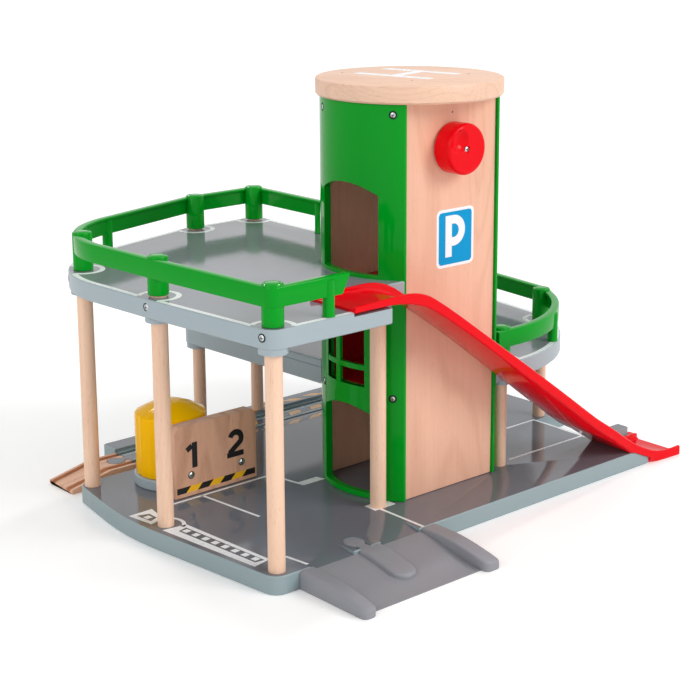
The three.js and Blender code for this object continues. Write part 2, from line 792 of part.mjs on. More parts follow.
const right_rail_line = belt([
  [panel_half_width, front_right_y - lobe_radius + fence_inset, 0],
  [sweep_x, front_right_y - lobe_radius + sweep_radius, sweep_radius - fence_inset],
  [far_right_x, far_right_y, far_right_lobe - fence_inset],
  [back_sweep_x, back_y - back_sweep_radius, back_sweep_radius - fence_inset],
  [right_fence_end_x, back_y - fence_inset, 0],
], false);
let right_fence = rail(right_rail_line, mid_rail_foot);
for (const [, x, y, , kind] of dowels) {
  if (kind === 'mid') right_fence = right_fence.add(sleeve(x, y, mid_deck_top, mid_rail_foot));
}
const front_post_angle = -60 * degrees;
const side_post_angle = -8 * degrees;
const back_post_angle = 55 * degrees;
const onSweep = (cx, cy, radius, angle) => [
  cx + (radius - fence_inset - rail_middle) * Math.cos(angle),
  cy + (radius - fence_inset - rail_middle) * Math.sin(angle),
];
const right_fence_posts = [
  onSweep(sweep_x, front_right_y - lobe_radius + sweep_radius, sweep_radius, front_post_angle),
  onSweep(back_sweep_x, back_y - back_sweep_radius, back_sweep_radius, side_post_angle),
  onSweep(back_sweep_x, back_y - back_sweep_radius, back_sweep_radius, back_post_angle),
  [right_fence_end_x + fence_post_radius, back_y - fence_inset - rail_middle],
];
for (const [x, y] of right_fence_posts) {
  right_fence = right_fence.add(thinPost(x, y, mid_deck_top, mid_rail_foot));
}
for (const [, x, y, diameter, kind] of dowels) {
  if (kind === 'mid') {
    right_fence = right_fence.subtract(socket(x, y, diameter, mid_deck_top, dowel_ends.mid + fit_gap));
  }
}
right_fence = right_fence.subtract(tower_room).subtract(
  block(-roof_radius, chute_toe_x, lane_front_y, lane_back_y + fit_gap, 0, roof_underside));
add('right_fence', right_fence, green_plastic());

// Slide chute: a moulded trough. Its head sits in the top deck on a pad, its foot on the bevel
const chute_length = chute_toe_x - chute_head_x;
const rim_run_shares = [0, 0.095, 0.142, 0.178, 0.211, 0.281, 0.396, 0.518, 0.63, 0.712, 0.76,
  0.817, 0.849, 0.901, 0.948, 1];
const rim_height_shares = [0.992, 0.998, 0.998, 0.986, 0.957, 0.869, 0.714, 0.55, 0.396, 0.282,
  0.224, 0.15, 0.111, 0.062, 0.04, 0.042];
const under_depth_shares = [0.31, 0.39, 0.54, 0.64, 0.66, 0.64, 0.64, 0.875, 1, 0.96, 0.84, 0.75,
  0.75, 0.9, 0.9, 0.9];
const channel_depth_shares = [0.17, 0.28, 0.45, 0.57, 0.59, 0.57, 0.57, 0.85, 1, 0.95, 0.81, 0.7,
  0.42, 0.36, 0.41, 0.47];
const toe_flare_shares = [0, 0, 0, 0, 0, 0, 0, 0, 0, 0, 0, 0, 0.05, 0.3, 0.7, 1];
const chute_steps = 30;
const chute_curve = (shares, size) => {
  const curve = new THREE.SplineCurve(rim_run_shares.map((run, i) => at(run, shares[i])));
  return curve.getPoints(chute_steps).map((p) => p.y * size);
};
const rim_x = chute_curve(rim_run_shares, chute_length).map((run) => chute_head_x + run);
const rim_z = chute_curve(rim_height_shares, chute_head_height);
const under_depth = chute_curve(under_depth_shares, chute_depth);
const channel_depth = chute_curve(channel_depth_shares, chute_channel_depth);
const toe_flare = chute_curve(toe_flare_shares, chute_toe_flare);
const head_seat_length = chute_seat_right - chute_head_x;
const chute_rings = rim_x.map((x, i) => {
  const top = rim_z[i];
  const seat_run = Math.max(0, (chute_seat_right - x) / head_seat_length);
  const y0 = chute_front_y - Math.max(0, toe_flare[i]);
  const y1 = chute_back_y + chute_head_flare * seat_run;
  const under = Math.max(top - under_depth[i], 0);
  const below_rim = Math.max(chute_edge, top - under - chute_rim_depth);
  const floor = top - channel_depth[i];
  const fillet = Math.min(chute_fillet, (channel_depth[i] - chute_edge) / 2);
  const inner = chute_wall + fillet;
  const right_half = [
    [y1 - below_rim, under],
    [y1, under + below_rim],
    [y1, top - chute_edge],
    [y1 - chute_edge, top],
    [y1 - chute_wall + chute_edge, top],
    [y1 - chute_wall, top - chute_edge],
    [y1 - chute_wall, floor + fillet],
    [y1 - inner, floor],
  ];
  const left_half = right_half.map(([y, z]) => [y0 + y1 - y, z]).reverse();
  return [...right_half, ...left_half].map(([y, z]) => new THREE.Vector3(x, y, z));
});
const lug_x = stop_right_x + fit_gap;
const lug = block(lug_x, lug_x + lug_length, chute_back_y - chute_wall, chute_back_y + lug_reach,
  0, lug_height);
const pad_foot = seat_floor + fit_gap;
const pad = block(chute_pad_left, chute_seat_right, chute_front_y + chute_pad_inset,
  chute_back_y - chute_pad_inset, pad_foot, pad_foot + chute_pad_height);
const board_under_chute = barAlongY([
  at(0, 0 - cut_over),
  at(board_right + fit_gap, 0 - cut_over),
  at(board_right + fit_gap, bevel_toe_height + fit_gap),
  at(bevel_start_x, board_thick + fit_gap),
  at(0, board_thick + fit_gap),
], lane_front_y - chute_toe_flare, 0);
add('slide_chute', loft(chute_rings).add(lug).add(pad).subtract(board_under_chute), red_plastic());

// Tower: two moulded shells screwed to the edges of two beech panels
const ring = rod(0, 0, tower_radius, shell_foot, shell_top, round_sides)
  .subtract(rod(0, 0, tower_radius - shell_thick, shell_foot - cut_over, shell_top + cut_over,
    round_sides));
const shell_side = panel_half_width + fit_gap;
const sideSpan = (side, reach) => (side < 0 ? [-roof_radius, -reach] : [reach, roof_radius]);

function doorway(side, sill) {
  const [x0, x1] = sideSpan(side, shell_side - cut_over);
  return barAlongX(archOutline(door_half_width, sill, sill + door_shoulder, door_rise), x0, x1);
}

const pane_columns = 2;
const pane_rows = 3;
function latticeWindow(side, floor) {
  const [x0, x1] = sideSpan(side, shell_side - cut_over);
  const foot = floor + window_foot;
  const pane_width = (2 * window_half_width - muntin_bar * (pane_columns - 1)) / pane_columns;
  const pane_height = (window_height - muntin_thick * (pane_rows - 1)) / pane_rows;
  const panes = [];
  for (let column = 0; column < pane_columns; column += 1) {
    for (let row = 0; row < pane_rows; row += 1) {
      const y0 = -window_half_width + column * (pane_width + muntin_bar);
      const z0 = foot + row * (pane_height + muntin_thick);
      panes.push(block(x0, x1, y0, y0 + pane_width, z0, z0 + pane_height));
    }
  }
  return panes;
}

// Counterbores for the screws that hold a shell to the panels' edges, near the roof and the middle deck
function shellScrewHoles(side) {
  const reach = shell_screw_depth + cut_over;
  const holes = [];
  for (const bearing of [-shell_screw_bearing, shell_screw_bearing]) {
    for (const height of [shell_top - shell_screw_top_drop, mid_deck_top - shell_screw_mid_drop]) {
      const hole = new THREE.CylinderGeometry(shell_screw_radius, shell_screw_radius, reach,
        shell_hole_sides);
      hole.rotateZ(Math.PI / 2);
      hole.translate(side * (tower_radius + cut_over - reach / 2), 0, height);
      hole.rotateZ(bearing * degrees);
      holes.push(toSolid(hole));
    }
  }
  return holes;
}

function towerShell(side, doors, windows) {
  const [x0, x1] = sideSpan(side, shell_side);
  let shell = ring.intersect(
    block(x0, x1, -shell_half_depth, shell_half_depth, 0, roof_underside));
  for (const sill of doors) shell = shell.subtract(doorway(side, sill));
  for (const floor of windows) {
    for (const pane of latticeWindow(side, floor)) shell = shell.subtract(pane);
  }
  for (const hole of shellScrewHoles(side)) shell = shell.subtract(hole);
  return shell;
}
const mid_floor = mid_sill - window_foot;
add('tower_left_shell', towerShell(-1, [ground_sill, top_sill], [mid_floor]), green_plastic());
add('tower_right_shell', towerShell(1, [mid_sill], [ground_sill, top_sill]), green_plastic());

const shaft_radius = shaft_diameter / 2;
const bush_radius = shaft_radius + fit_gap + bush_wall;
const panel_hole = (y0, y1) => turnedOnCrank([
  [0, y0], [bush_radius + fit_gap, y0], [bush_radius + fit_gap, y1], [0, y1]]);
const panel_inner = panel_face - panel_thick;
add('tower_front_panel', block(-panel_half_width, panel_half_width, -panel_face, -panel_inner,
  shell_foot, shell_top).subtract(panel_hole(-panel_face - cut_over, -panel_inner + cut_over)),
beech());
add('tower_back_panel', block(-panel_half_width, panel_half_width, panel_inner, panel_face,
  shell_foot, shell_top).subtract(panel_hole(panel_inner - cut_over, panel_face + cut_over)),
beech());

const roof_top = roof_underside + roof_thick;
add('roof_disc', turned(0, 0, [
  [0, roof_underside],
  [roof_radius - roof_edge, roof_underside],
  [roof_radius, roof_underside + roof_edge],
  [roof_radius, roof_top - roof_edge],
  [roof_radius - roof_edge, roof_top],
  [0, roof_top],
], round_sides), beech());

// Crank: a knob outside the front panel on a shaft that runs in two bushes and winds the cord
const knob_back = -panel_face - run_gap;
const knob_front = knob_back - knob_thick;
const dimple_angle = 140 * degrees;
const dimple_ball = new THREE.SphereGeometry(dimple_radius, 20, 12);
dimple_ball.translate(dimple_offset * Math.cos(dimple_angle), knob_front - dimple_radius + dimple_depth,
  crank_height + dimple_offset * Math.sin(dimple_angle));
const screw_room = screw_head_thick + fit_gap;
const knob = turnedOnCrank([
  [0, knob_front],
  [knob_radius - knob_edge, knob_front],
  [knob_radius - knob_edge / 4, knob_front + knob_edge / 4],
  [knob_radius, knob_front + knob_edge],
  [knob_radius, knob_back],
  [0, knob_back],
], 2 * hole_sides)
  .subtract(toSolid(dimple_ball))
  .subtract(turnedOnCrank([
    [0, knob_back - shaft_in_knob], [shaft_radius + fit_gap, knob_back - shaft_in_knob],
    [shaft_radius + fit_gap, knob_back + cut_over], [0, knob_back + cut_over]]))
  .subtract(turnedOnCrank([
    [0, knob_front - cut_over], [screw_head_radius + fit_gap, knob_front - cut_over],
    [screw_head_radius + fit_gap, knob_front + screw_room],
    [screw_shank_radius + fit_gap, knob_front + screw_room],
    [screw_shank_radius + fit_gap, knob_back], [0, knob_back]]));
add('crank_knob', knob, red_plastic());

const shaft_front = knob_back - shaft_in_knob + fit_gap;
const shaft_back = panel_face - fit_gap;
add('crank_shaft', turnedOnCrank([
  [0, shaft_front], [shaft_radius, shaft_front], [shaft_radius, shaft_back], [0, shaft_back]]),
steel());
add('knob_screw', turnedOnCrank([
  [0, knob_front],
  [screw_head_radius - screw_head_thick / 2, knob_front],
  [screw_head_radius, knob_front + screw_head_thick / 2],
  [screw_head_radius, knob_front + screw_head_thick],
  [screw_shank_radius, knob_front + screw_head_thick],
  [screw_shank_radius, shaft_front - fit_gap],
  [0, shaft_front - fit_gap],
]), steel());

const bore = shaft_radius + fit_gap;
function bush(outer_y, inner_y, flange_y) {
  const flange_radius = bush_radius + bush_flange;
  const first = [[bore, outer_y], [bush_radius, outer_y], [bush_radius, inner_y],
    [flange_radius, inner_y], [flange_radius, flange_y], [bore, flange_y], [bore, outer_y]];
  return turnedOnCrank(outer_y < flange_y ? first : first.reverse());
}
add('front_bush', bush(-panel_face, -panel_inner + fit_gap, -panel_inner + fit_gap + bush_flange_thick),
  steel());
add('back_bush', bush(panel_face, panel_inner - fit_gap, panel_inner - fit_gap - bush_flange_thick),
  steel());

const spool_half = spool_width / 2;
const spool_inner = spool_half - spool_flange_thick;
add('cord_spool', turnedOnCrank([
  [bore, -spool_half],
  [spool_flange_radius, -spool_half],
  [spool_flange_radius, -spool_inner],
  [spool_hub_radius, -spool_inner],
  [spool_hub_radius, spool_inner],
  [spool_flange_radius, spool_inner],
  [spool_flange_radius, spool_half],
  [bore, spool_half],
  [bore, -spool_half],
]), yellow_plastic());

// Lift car: a box that is open at both ends, hung on the cord beside the spool's hub
const car_half_depth = panel_inner - run_gap;
const car_foot = mid_sill - car_floor;
const car_top = car_foot + car_height;
const car_plan = rod(0, 0, tower_radius - shell_thick - run_gap, car_foot, car_foot + car_floor,
  round_sides)
  .intersect(block(-roof_radius, roof_radius, -car_half_depth, car_half_depth, 0, roof_underside));
const car_shoulder = car_top - car_wall - car_arch_rise;
const car_box = block(-panel_half_width, panel_half_width, -car_half_depth, car_half_depth, car_foot,
  car_top);
const car_room = barAlongX(
  archOutline(car_half_depth - car_wall, mid_sill, car_shoulder, car_arch_rise),
  -panel_half_width - cut_over, panel_half_width + cut_over);
add('lift_car', car_box.subtract(car_room).add(car_plan), red_plastic());

add('lift_cord', rod(cord_x, 0, cord_diameter / 2, car_top + fit_gap, crank_height, cord_sides),
  white_cord());

// Wall with the bay numbers
const wall_plan = [
  at(wall_left_x, shell_foot),
  at(wall_right_x, shell_foot),
  at(wall_right_x, wall_top - wall_corner),
  at(wall_right_x - wall_corner, wall_top),
  at(wall_left_x + wall_corner, wall_top),
  at(wall_left_x, wall_top - wall_corner),
];
add('number_wall', barAlongY(wall_plan, wall_face_y, wall_face_y + wall_thick), beech());

// Round tank: a ribbed body with a low roof, on a foot
const foot_top = shell_foot + tank_foot_height;
add('tank_foot', turned(tank_x, tank_y, [
  [0, shell_foot],
  [tank_foot_radius, shell_foot],
  [tank_foot_radius, foot_top - board_edge],
  [tank_foot_radius - board_edge, foot_top],
  [0, foot_top],
]), grey_board());
const rib_steps = 4 * tank_rib_count;
const tank_plan = [];
for (let k = 0; k < rib_steps; k += 1) {
  const angle = (2 * Math.PI * k) / rib_steps;
  const radius = tank_radius - tank_rib * 0.5 * (1 - Math.cos(tank_rib_count * angle));
  tank_plan.push(at(tank_x + radius * Math.cos(angle), tank_y + radius * Math.sin(angle)));
}
const tank = plate(tank_plan, foot_top + fit_gap, tank_side_top).add(turned(tank_x, tank_y, [
  [0, tank_side_top - cut_over],
  [tank_radius - tank_rib, tank_side_top - cut_over],
  [tank_radius - tank_rib, tank_side_top],
  [tank_roof_radius, tank_top - board_edge],
  [tank_roof_radius - board_edge, tank_top],
  [0, tank_top],
]));
add('tank_body', tank, yellow_plastic());

export default group;
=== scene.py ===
"""Finished look of a toy parking garage with a hand-cranked lift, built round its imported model."""
from math import asin, atan2, ceil, cos, hypot, pi, radians, sin, sqrt

import bmesh
import bpy
from mathutils import Matrix, Vector


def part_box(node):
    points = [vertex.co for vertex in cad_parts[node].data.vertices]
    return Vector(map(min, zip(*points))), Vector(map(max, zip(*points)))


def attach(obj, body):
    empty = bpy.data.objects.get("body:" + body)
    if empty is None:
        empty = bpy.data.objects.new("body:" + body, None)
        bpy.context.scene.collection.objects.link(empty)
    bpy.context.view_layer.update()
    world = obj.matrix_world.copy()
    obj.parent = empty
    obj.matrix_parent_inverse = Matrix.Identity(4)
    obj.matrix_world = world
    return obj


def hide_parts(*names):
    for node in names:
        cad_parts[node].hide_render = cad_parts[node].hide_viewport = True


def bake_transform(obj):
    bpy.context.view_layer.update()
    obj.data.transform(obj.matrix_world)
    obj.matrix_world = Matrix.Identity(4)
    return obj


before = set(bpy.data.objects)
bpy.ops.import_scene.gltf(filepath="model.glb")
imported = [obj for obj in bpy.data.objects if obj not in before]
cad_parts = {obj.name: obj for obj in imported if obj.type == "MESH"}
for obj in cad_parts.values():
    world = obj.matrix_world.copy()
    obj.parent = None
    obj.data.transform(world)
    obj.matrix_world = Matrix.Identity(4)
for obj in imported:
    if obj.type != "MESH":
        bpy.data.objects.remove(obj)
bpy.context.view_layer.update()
scene = bpy.context.scene
scene.view_settings.view_transform = "Standard"
mm = 0.001

# Camera, where the photograph was taken from: level with the top deck's rail, at the front left corner.
# The picture is cropped off centre, so the lens is shifted.
camera_pitch = 13.033
camera_heading = 47.83
camera_lens = bpy.data.cameras.new("photo_lens")
camera_lens.sensor_width = 36
camera_lens.lens = 83.61
camera_lens.shift_x = -0.05
camera_lens.shift_y = -0.12
camera = bpy.data.objects.new("photo_camera", camera_lens)
camera.location = (-0.9684, -1.0371, 0.5386)
camera.rotation_euler = (radians(90 - camera_pitch), 0, radians(camera_heading - 90))
scene.collection.objects.link(camera)
scene.camera = camera


# Studio light: a white room all round, a broad key light from the front right and a softer one from the
# left. Two narrow lamps behind the toy draw thin bright lines along its round edges.
def feed(tree, node, inputs):
    """Links a shader node's inputs to sockets, or sets them to values."""
    for socket, value in inputs.items():
        if isinstance(value, bpy.types.NodeSocket):
            tree.links.new(value, node.inputs[socket])
        else:
            node.inputs[socket].default_value = value


def add_node(tree, kind, inputs=None, **settings):
    """A shader node with its settings and its inputs."""
    made = tree.nodes.new("ShaderNode" + kind)
    for setting, value in settings.items():
        setattr(made, setting, value)
    feed(tree, made, inputs or {})
    return made


def maths(tree, operation, first, second=0.5, **settings):
    """The result of one step of arithmetic on sockets or numbers."""
    return add_node(tree, "Math", {0: first, 1: second}, operation=operation, **settings).outputs[0]


def remap(tree, value, low, high, new_low=0.0, new_high=1.0):
    """A value moved from one range to another and held inside it."""
    ends = {"From Min": low, "From Max": high, "To Min": new_low, "To Max": new_high}
    return add_node(tree, "MapRange", {"Value": value, **ends}).outputs["Result"]


room_level = 0.58
room = bpy.data.worlds.new("white_studio")
room.use_nodes = True
scene.world = room
room_tree = room.node_tree
ray = add_node(room_tree, "LightPath").outputs
seen = maths(room_tree, "MAXIMUM", ray["Is Camera Ray"], ray["Is Glossy Ray"])
seen = maths(room_tree, "MAXIMUM", seen, ray["Is Transmission Ray"])
feed(room_tree, room_tree.nodes["Background"],
     {"Color": (1, 1, 1, 1), "Strength": remap(room_tree, seen, 0, 1, room_level, 1)})

for lamp_name, toward, strength, spread in [
    ("key_light", (0.45, -0.9, 0.6), 1.45, 30),
    ("left_light", (-0.9, -0.15, 0.5), 0.7, 40),
    ("rim_light", (0.62, 0.2, 0.74), 0.4, 5),
    ("back_rim_light", (0.1, 0.72, 0.69), 0.24, 5),
]:
    lamp_data = bpy.data.lights.new(lamp_name, "SUN")
    lamp_data.energy = strength
    lamp_data.angle = radians(spread)
    lamp = bpy.data.objects.new(lamp_name, lamp_data)
    lamp.rotation_euler = Vector(toward).to_track_quat("Z", "Y").to_euler()
    scene.collection.objects.link(lamp)

# Floor: a plain white sheet that takes the object's shadow and a faint sheen. The camera alone sees it
# glow a little, so that it comes out as white as the photograph's ground.
floor_half = 20
floor_glow = 0.14
floor_shape = bmesh.new()
bmesh.ops.create_grid(floor_shape, x_segments=1, y_segments=1, size=floor_half)
floor_mesh = bpy.data.meshes.new("floor")
floor_shape.to_mesh(floor_mesh)
floor_shape.free()
floor = bpy.data.objects.new("floor", floor_mesh)
scene.collection.objects.link(floor)
floor_paint = bpy.data.materials.new("white_floor")
floor_paint.use_nodes = True
floor_tree = floor_paint.node_tree
floor_ray = add_node(floor_tree, "LightPath").outputs["Is Camera Ray"]
feed(floor_tree, floor_tree.nodes["Principled BSDF"],
     {"Base Color": (0.97, 0.97, 0.965, 1), "Roughness": 0.4, "Specular IOR Level": 0.1,
      "Emission Color": (1, 1, 1, 1),
      "Emission Strength": maths(floor_tree, "MULTIPLY", floor_ray, floor_glow)})
floor_mesh.materials.append(floor_paint)


# Base board: thick fibreboard, sprayed grey on its edges and printed a darker grey on top.
# Its corners are eased, and the print and the track's marks lie on the top as a film of ink.
def colour(red, green, blue):
    """A colour given in screen values from 0 to 255."""
    def linear(value):
        value /= 255
        return value / 12.92 if value <= 0.04045 else ((value + 0.055) / 1.055) ** 2.4
    return (linear(red), linear(green), linear(blue), 1)


def noise(tree, vector, scale, detail, distortion=0.0):
    """The strength of a noise pattern."""
    return add_node(tree, "TexNoise", {"Vector": vector, "Scale": scale, "Detail": detail,
                                       "Distortion": distortion}).outputs["Fac"]


def start_group(group_name, inputs):
    """A node group for a skin, with its named values in and a colour, a roughness and a height out."""
    group = bpy.data.node_groups.new(group_name, "ShaderNodeTree")
    group.interface.new_socket("Vector", in_out="INPUT", socket_type="NodeSocketVector")
    for socket_name, value in inputs.items():
        kind = "NodeSocketColor" if isinstance(value, tuple) else "NodeSocketFloat"
        group.interface.new_socket(socket_name, in_out="INPUT", socket_type=kind).default_value = value
    for socket_name, kind in [("Color", "NodeSocketColor"), ("Roughness", "NodeSocketFloat"),
                              ("Height", "NodeSocketFloat")]:
        group.interface.new_socket(socket_name, in_out="OUTPUT", socket_type=kind)
    return group, group.nodes.new("NodeGroupInput").outputs, group.nodes.new("NodeGroupOutput")


film, entry, leave = start_group(
    "painted_skin", {"Tint": (0.5, 0.5, 0.5, 1), "Cloud": 0.05, "Cloud Size": 22.0, "Speck": 0.2,
                     "Speck Size": 700.0, "Smooth": 0.2, "Rough": 0.3})
cloud = noise(film, entry["Vector"], entry["Cloud Size"], 3.0)
speck = noise(film, entry["Vector"], entry["Speck Size"], 1.0)
scuff = noise(film, entry["Vector"], 130.0, 4.0, 0.6)
swing = maths(film, "MULTIPLY", maths(film, "SUBTRACT", cloud, 0.5), entry["Cloud"])
grit = maths(film, "MULTIPLY", remap(film, speck, 0.62, 0.72), entry["Speck"])
bright = maths(film, "ADD", maths(film, "ADD", swing, grit), 1.0)
toned = add_node(film, "HueSaturation", {"Color": entry["Tint"], "Value": bright})
sheen = remap(film, scuff, 0.3, 0.7, entry["Smooth"], entry["Rough"])
feed(film, leave, {"Color": toned.outputs["Color"], "Roughness": sheen, "Height": speck})


bump_deep = 0.3


def wearing(name, group, values, bump_strength, mapping=None, **fixed):
    """A material that wears a skin in the object's own coordinates, with its height as a fine bump."""
    material = bpy.data.materials.new(name)
    material.use_nodes = True
    tree = material.node_tree
    place = add_node(tree, "TexCoord").outputs["Object"]
    if mapping:
        place = add_node(tree, "Mapping", {"Vector": place, **mapping}).outputs[0]
    skin = add_node(tree, "Group", {"Vector": place, **values}, node_tree=group).outputs
    bump = add_node(tree, "Bump", {"Height": skin["Height"], "Strength": bump_strength,
                                   "Distance": bump_deep * mm})
    feed(tree, tree.nodes["Principled BSDF"],
         {"Base Color": skin["Color"], "Roughness": skin["Roughness"], "Normal": bump.outputs["Normal"],
          **fixed})
    return material


def painted(name, tint, smooth=0.2, rough=0.3, cloud_swing=0.12, cloud_size=22.0, speck_swing=0.03,
            speck_size=700.0, peel=0.02, shine=0.5, metallic=0):
    """A painted or moulded surface with soft clouds in its colour and a fine orange peel."""
    return wearing(name, film,
                   {"Tint": colour(*tint), "Cloud": cloud_swing, "Cloud Size": cloud_size,
                    "Speck": speck_swing, "Speck Size": speck_size, "Smooth": smooth, "Rough": rough}, peel,
                   **{"Specular IOR Level": shine, "Metallic": metallic})


def place_piece(name, mesh, body, slot, *nodes):
    """Puts a finished mesh in the scene, on its body if it has one, and for its nodes; its slot is not used.
    """
    piece = bpy.data.objects.new(name, mesh)
    scene.collection.objects.link(piece)
    if body:
        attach(piece, body)
    if nodes:
        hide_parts(*nodes)
    return piece


def shade(mesh, sharp=35):
    """Smooth shading that keeps the corners sharper than the angle."""
    for face in mesh.polygons:
        face.use_smooth = True
    mesh.set_sharp_from_angle(angle=radians(sharp))


def ease_edges(piece, width, sharp):
    """Rounds the edges sharper than the angle, by a width in millimetres."""
    bevel = piece.modifiers.new("eased_edges", "BEVEL")
    bevel.width = width * mm
    bevel.segments = 2
    bevel.limit_method = "ANGLE"
    bevel.angle_limit = radians(sharp)
    bevel.harden_normals = True


merge_reach = 0.01
flat_angle = 0.8


def finished(node, ending, slot, skins, body="garage", ease=0.5, sharp=30, pick=None, join_flat=True):
    """A copy of a solid with its corners merged, its flat faces joined and its edges eased.
    Pick gives the number of the skin for a face."""
    name = node + "_" + ending
    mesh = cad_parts[node].data.copy()
    mesh.name = name
    shape = bmesh.new()
    shape.from_mesh(mesh)
    bmesh.ops.remove_doubles(shape, verts=shape.verts, dist=merge_reach * mm)
    if join_flat:
        bmesh.ops.dissolve_limit(shape, angle_limit=radians(flat_angle), verts=shape.verts, edges=shape.edges)
    if pick:
        shape.normal_update()
        for face in shape.faces:
            face.material_index = pick(face)
    mesh.materials.clear()
    for skin in skins:
        mesh.materials.append(skin)
    shape.to_mesh(mesh)
    shape.free()
    shade(mesh, sharp)
    piece = place_piece(name, mesh, body, slot, node)
    if ease:
        ease_edges(piece, ease, sharp)
    return piece


def grid_of(shape, columns, rows, spot):
    """A sheet of squares whose corner in column i and row j stands where spot says, in millimetres."""
    verts = bmesh.ops.create_grid(shape, x_segments=columns, y_segments=rows, size=1)["verts"]
    for vert in verts:
        i = round((vert.co.x + 1) * columns / 2)
        j = round((vert.co.y + 1) * rows / 2)
        vert.co = Vector(spot(i, j)) * mm
    return verts


mitre_limit = 0.4


def mitred(points):
    """For each point of a path, the mitred step to its left and the way along."""
    turned = []
    for i, point in enumerate(points):
        before = (point - points[i - 1]).normalized() if i else None
        after = (points[i + 1] - point).normalized() if i + 1 < len(points) else None
        along = ((before or after) + (after or before)).normalized()
        turned.append((Vector((-along.y, along.x)) / max(along.dot(after or before), mitre_limit), along))
    return turned


def ribbon(sheet, path, width):
    """A flat strip of a width along a path of plan points, in millimetres."""
    points = [Vector(point) for point in path]
    turned = mitred(points)
    grid_of(sheet, len(points) - 1, 1, lambda i, j: (*(points[i] + turned[i][0] * width * (j - 0.5)), 0))


def patch(sheet, corners):
    """A flat patch with plan corners in millimetres."""
    bmesh.ops.contextual_create(sheet, geom=[sheet.verts.new(Vector((x, y, 0)) * mm) for x, y in corners])


def polar(x, y, reach, bearing):
    """The plan point at a reach and a bearing from a centre, in degrees anticlockwise from +X."""
    return x + reach * cos(radians(bearing)), y + reach * sin(radians(bearing))


def arc(x, y, radius, start, end, steps=14):
    """Plan points on an arc between two bearings."""
    return [polar(x, y, radius, start + (end - start) * k / steps) for k in range(steps + 1)]


def verts_of(drawn):
    """The points that an operator has just made."""
    return [part for part in drawn["geom"] if isinstance(part, bmesh.types.BMVert)]


def at(x, y, z):
    """A place in millimetres."""
    return Matrix.Translation(Vector((x, y, z)) * mm)


ink_thick = 0.08


def on_top(level, layers=0):
    """The place of a sheet that lies on a level face, over a number of layers of ink."""
    return Matrix.Translation((0, 0, level + layers * ink_thick * mm))


def printed(sheet, name, ink, place, slot="grey_board"):
    """Gives a drawn sheet the thickness of a film of ink, and puts it in place."""
    raised = bmesh.ops.extrude_face_region(sheet, geom=list(sheet.faces))
    bmesh.ops.translate(sheet, vec=(0, 0, ink_thick * mm), verts=verts_of(raised))
    bmesh.ops.recalc_face_normals(sheet, faces=sheet.faces)
    bmesh.ops.transform(sheet, matrix=place, verts=sheet.verts)
    mesh = bpy.data.meshes.new(name)
    sheet.to_mesh(mesh)
    sheet.free()
    mesh.materials.append(ink)
    return place_piece(name, mesh, "garage", slot)


def lined(name, ink, place, width, paths, slot="grey_board"):
    """Prints strips of one width along paths of plan points."""
    sheet = bmesh.new()
    for path in paths:
        ribbon(sheet, path, width)
    printed(sheet, name, ink, place, slot)


def top_face(face):
    """One for a face that looks straight up, so that it takes the second skin."""
    return int(face.normal.z > 0.9)


board_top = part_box("base_board")[1].z
sprayed_edge = painted("grey_sprayed_edge", (144, 161, 165), 0.3, 0.42, cloud_swing=0.05)
printed_top = painted("grey_printed_top", (108, 112, 120), 0.07, 0.12, cloud_swing=0.06, peel=0.015,
                      shine=0.4)
white_ink = painted("white_ink", (240, 242, 244), 0.25, 0.35, cloud_swing=0.05)
dark_ink = painted("dark_grey_ink", (96, 99, 107), 0.2, 0.3)
orange_ink = painted("orange_ink", (232, 172, 84), 0.25, 0.35)
finished("base_board", "lacquered", "grey_board", [sprayed_edge, printed_top], pick=top_face)

bay_line = 2.7
post_bow_line = 3.4
base_marks = bmesh.new()
for path in [
    [(-210, 77), (-101, 77.4), (-94, 37)],
    [(-177.5, 77), (-170.6, 3.8)],
    [(-82, -53), (-82, -107)],
    [(91, -40.8), (196, -41.8)],
    [(152, 23.6), (195.5, 23.8), (196, -41.8)],
    [(-207.6, -78), (-204.2, -102)],
]:
    ribbon(base_marks, path, bay_line)
for corners in [
    [(-94, 36.2), (-69.8, 36.2), (-72.5, 45.4), (-94, 45.4)],
    [(-88.2, -53), (-64.5, -53), (-64.5, -38.6), (-88.2, -38.6)],
    [(-249.6, 34), (-238.6, -77.6), (-220.6, -73.8), (-227.2, 31)],
    [(-253, 79.5), (-249, 51), (-233.8, 56), (-229, 80)],
]:
    patch(base_marks, corners)
ribbon(base_marks, arc(-240.5, 42, 15.2, 55, -58), post_bow_line)
printed(base_marks, "base_white_marks", white_ink, on_top(board_top))

crossing_dark = bmesh.new()
patch(crossing_dark, [(-240.8, 23), (-233.2, -71.2), (-224.6, -72.4), (-231.6, 25.6)])
patch(crossing_dark, [(-247.6, 75.4), (-245.4, 57.6), (-237.2, 60.4), (-237, 72)])
printed(crossing_dark, "crossing_dark_band", dark_ink, on_top(board_top, 1))

crossing_squares = bmesh.new()
first_square = Vector((-235.8, 18.9))
last_square = Vector((-228.8, -66))
lone_square = Vector((-242.6, 66))
square_count = 8
square_half = 2.9
run = (last_square - first_square).normalized()
side = Vector((-run.y, run.x))
row = [first_square.lerp(last_square, k / (square_count - 1)) for k in range(square_count)]
for middle in row + [lone_square]:
    patch(crossing_squares, [middle + square_half * (a * run + b * side)
                             for a, b in [(-1, -1), (1, -1), (1, 1), (-1, 1)]])
printed(crossing_squares, "crossing_squares", white_ink, on_top(board_top, 2))
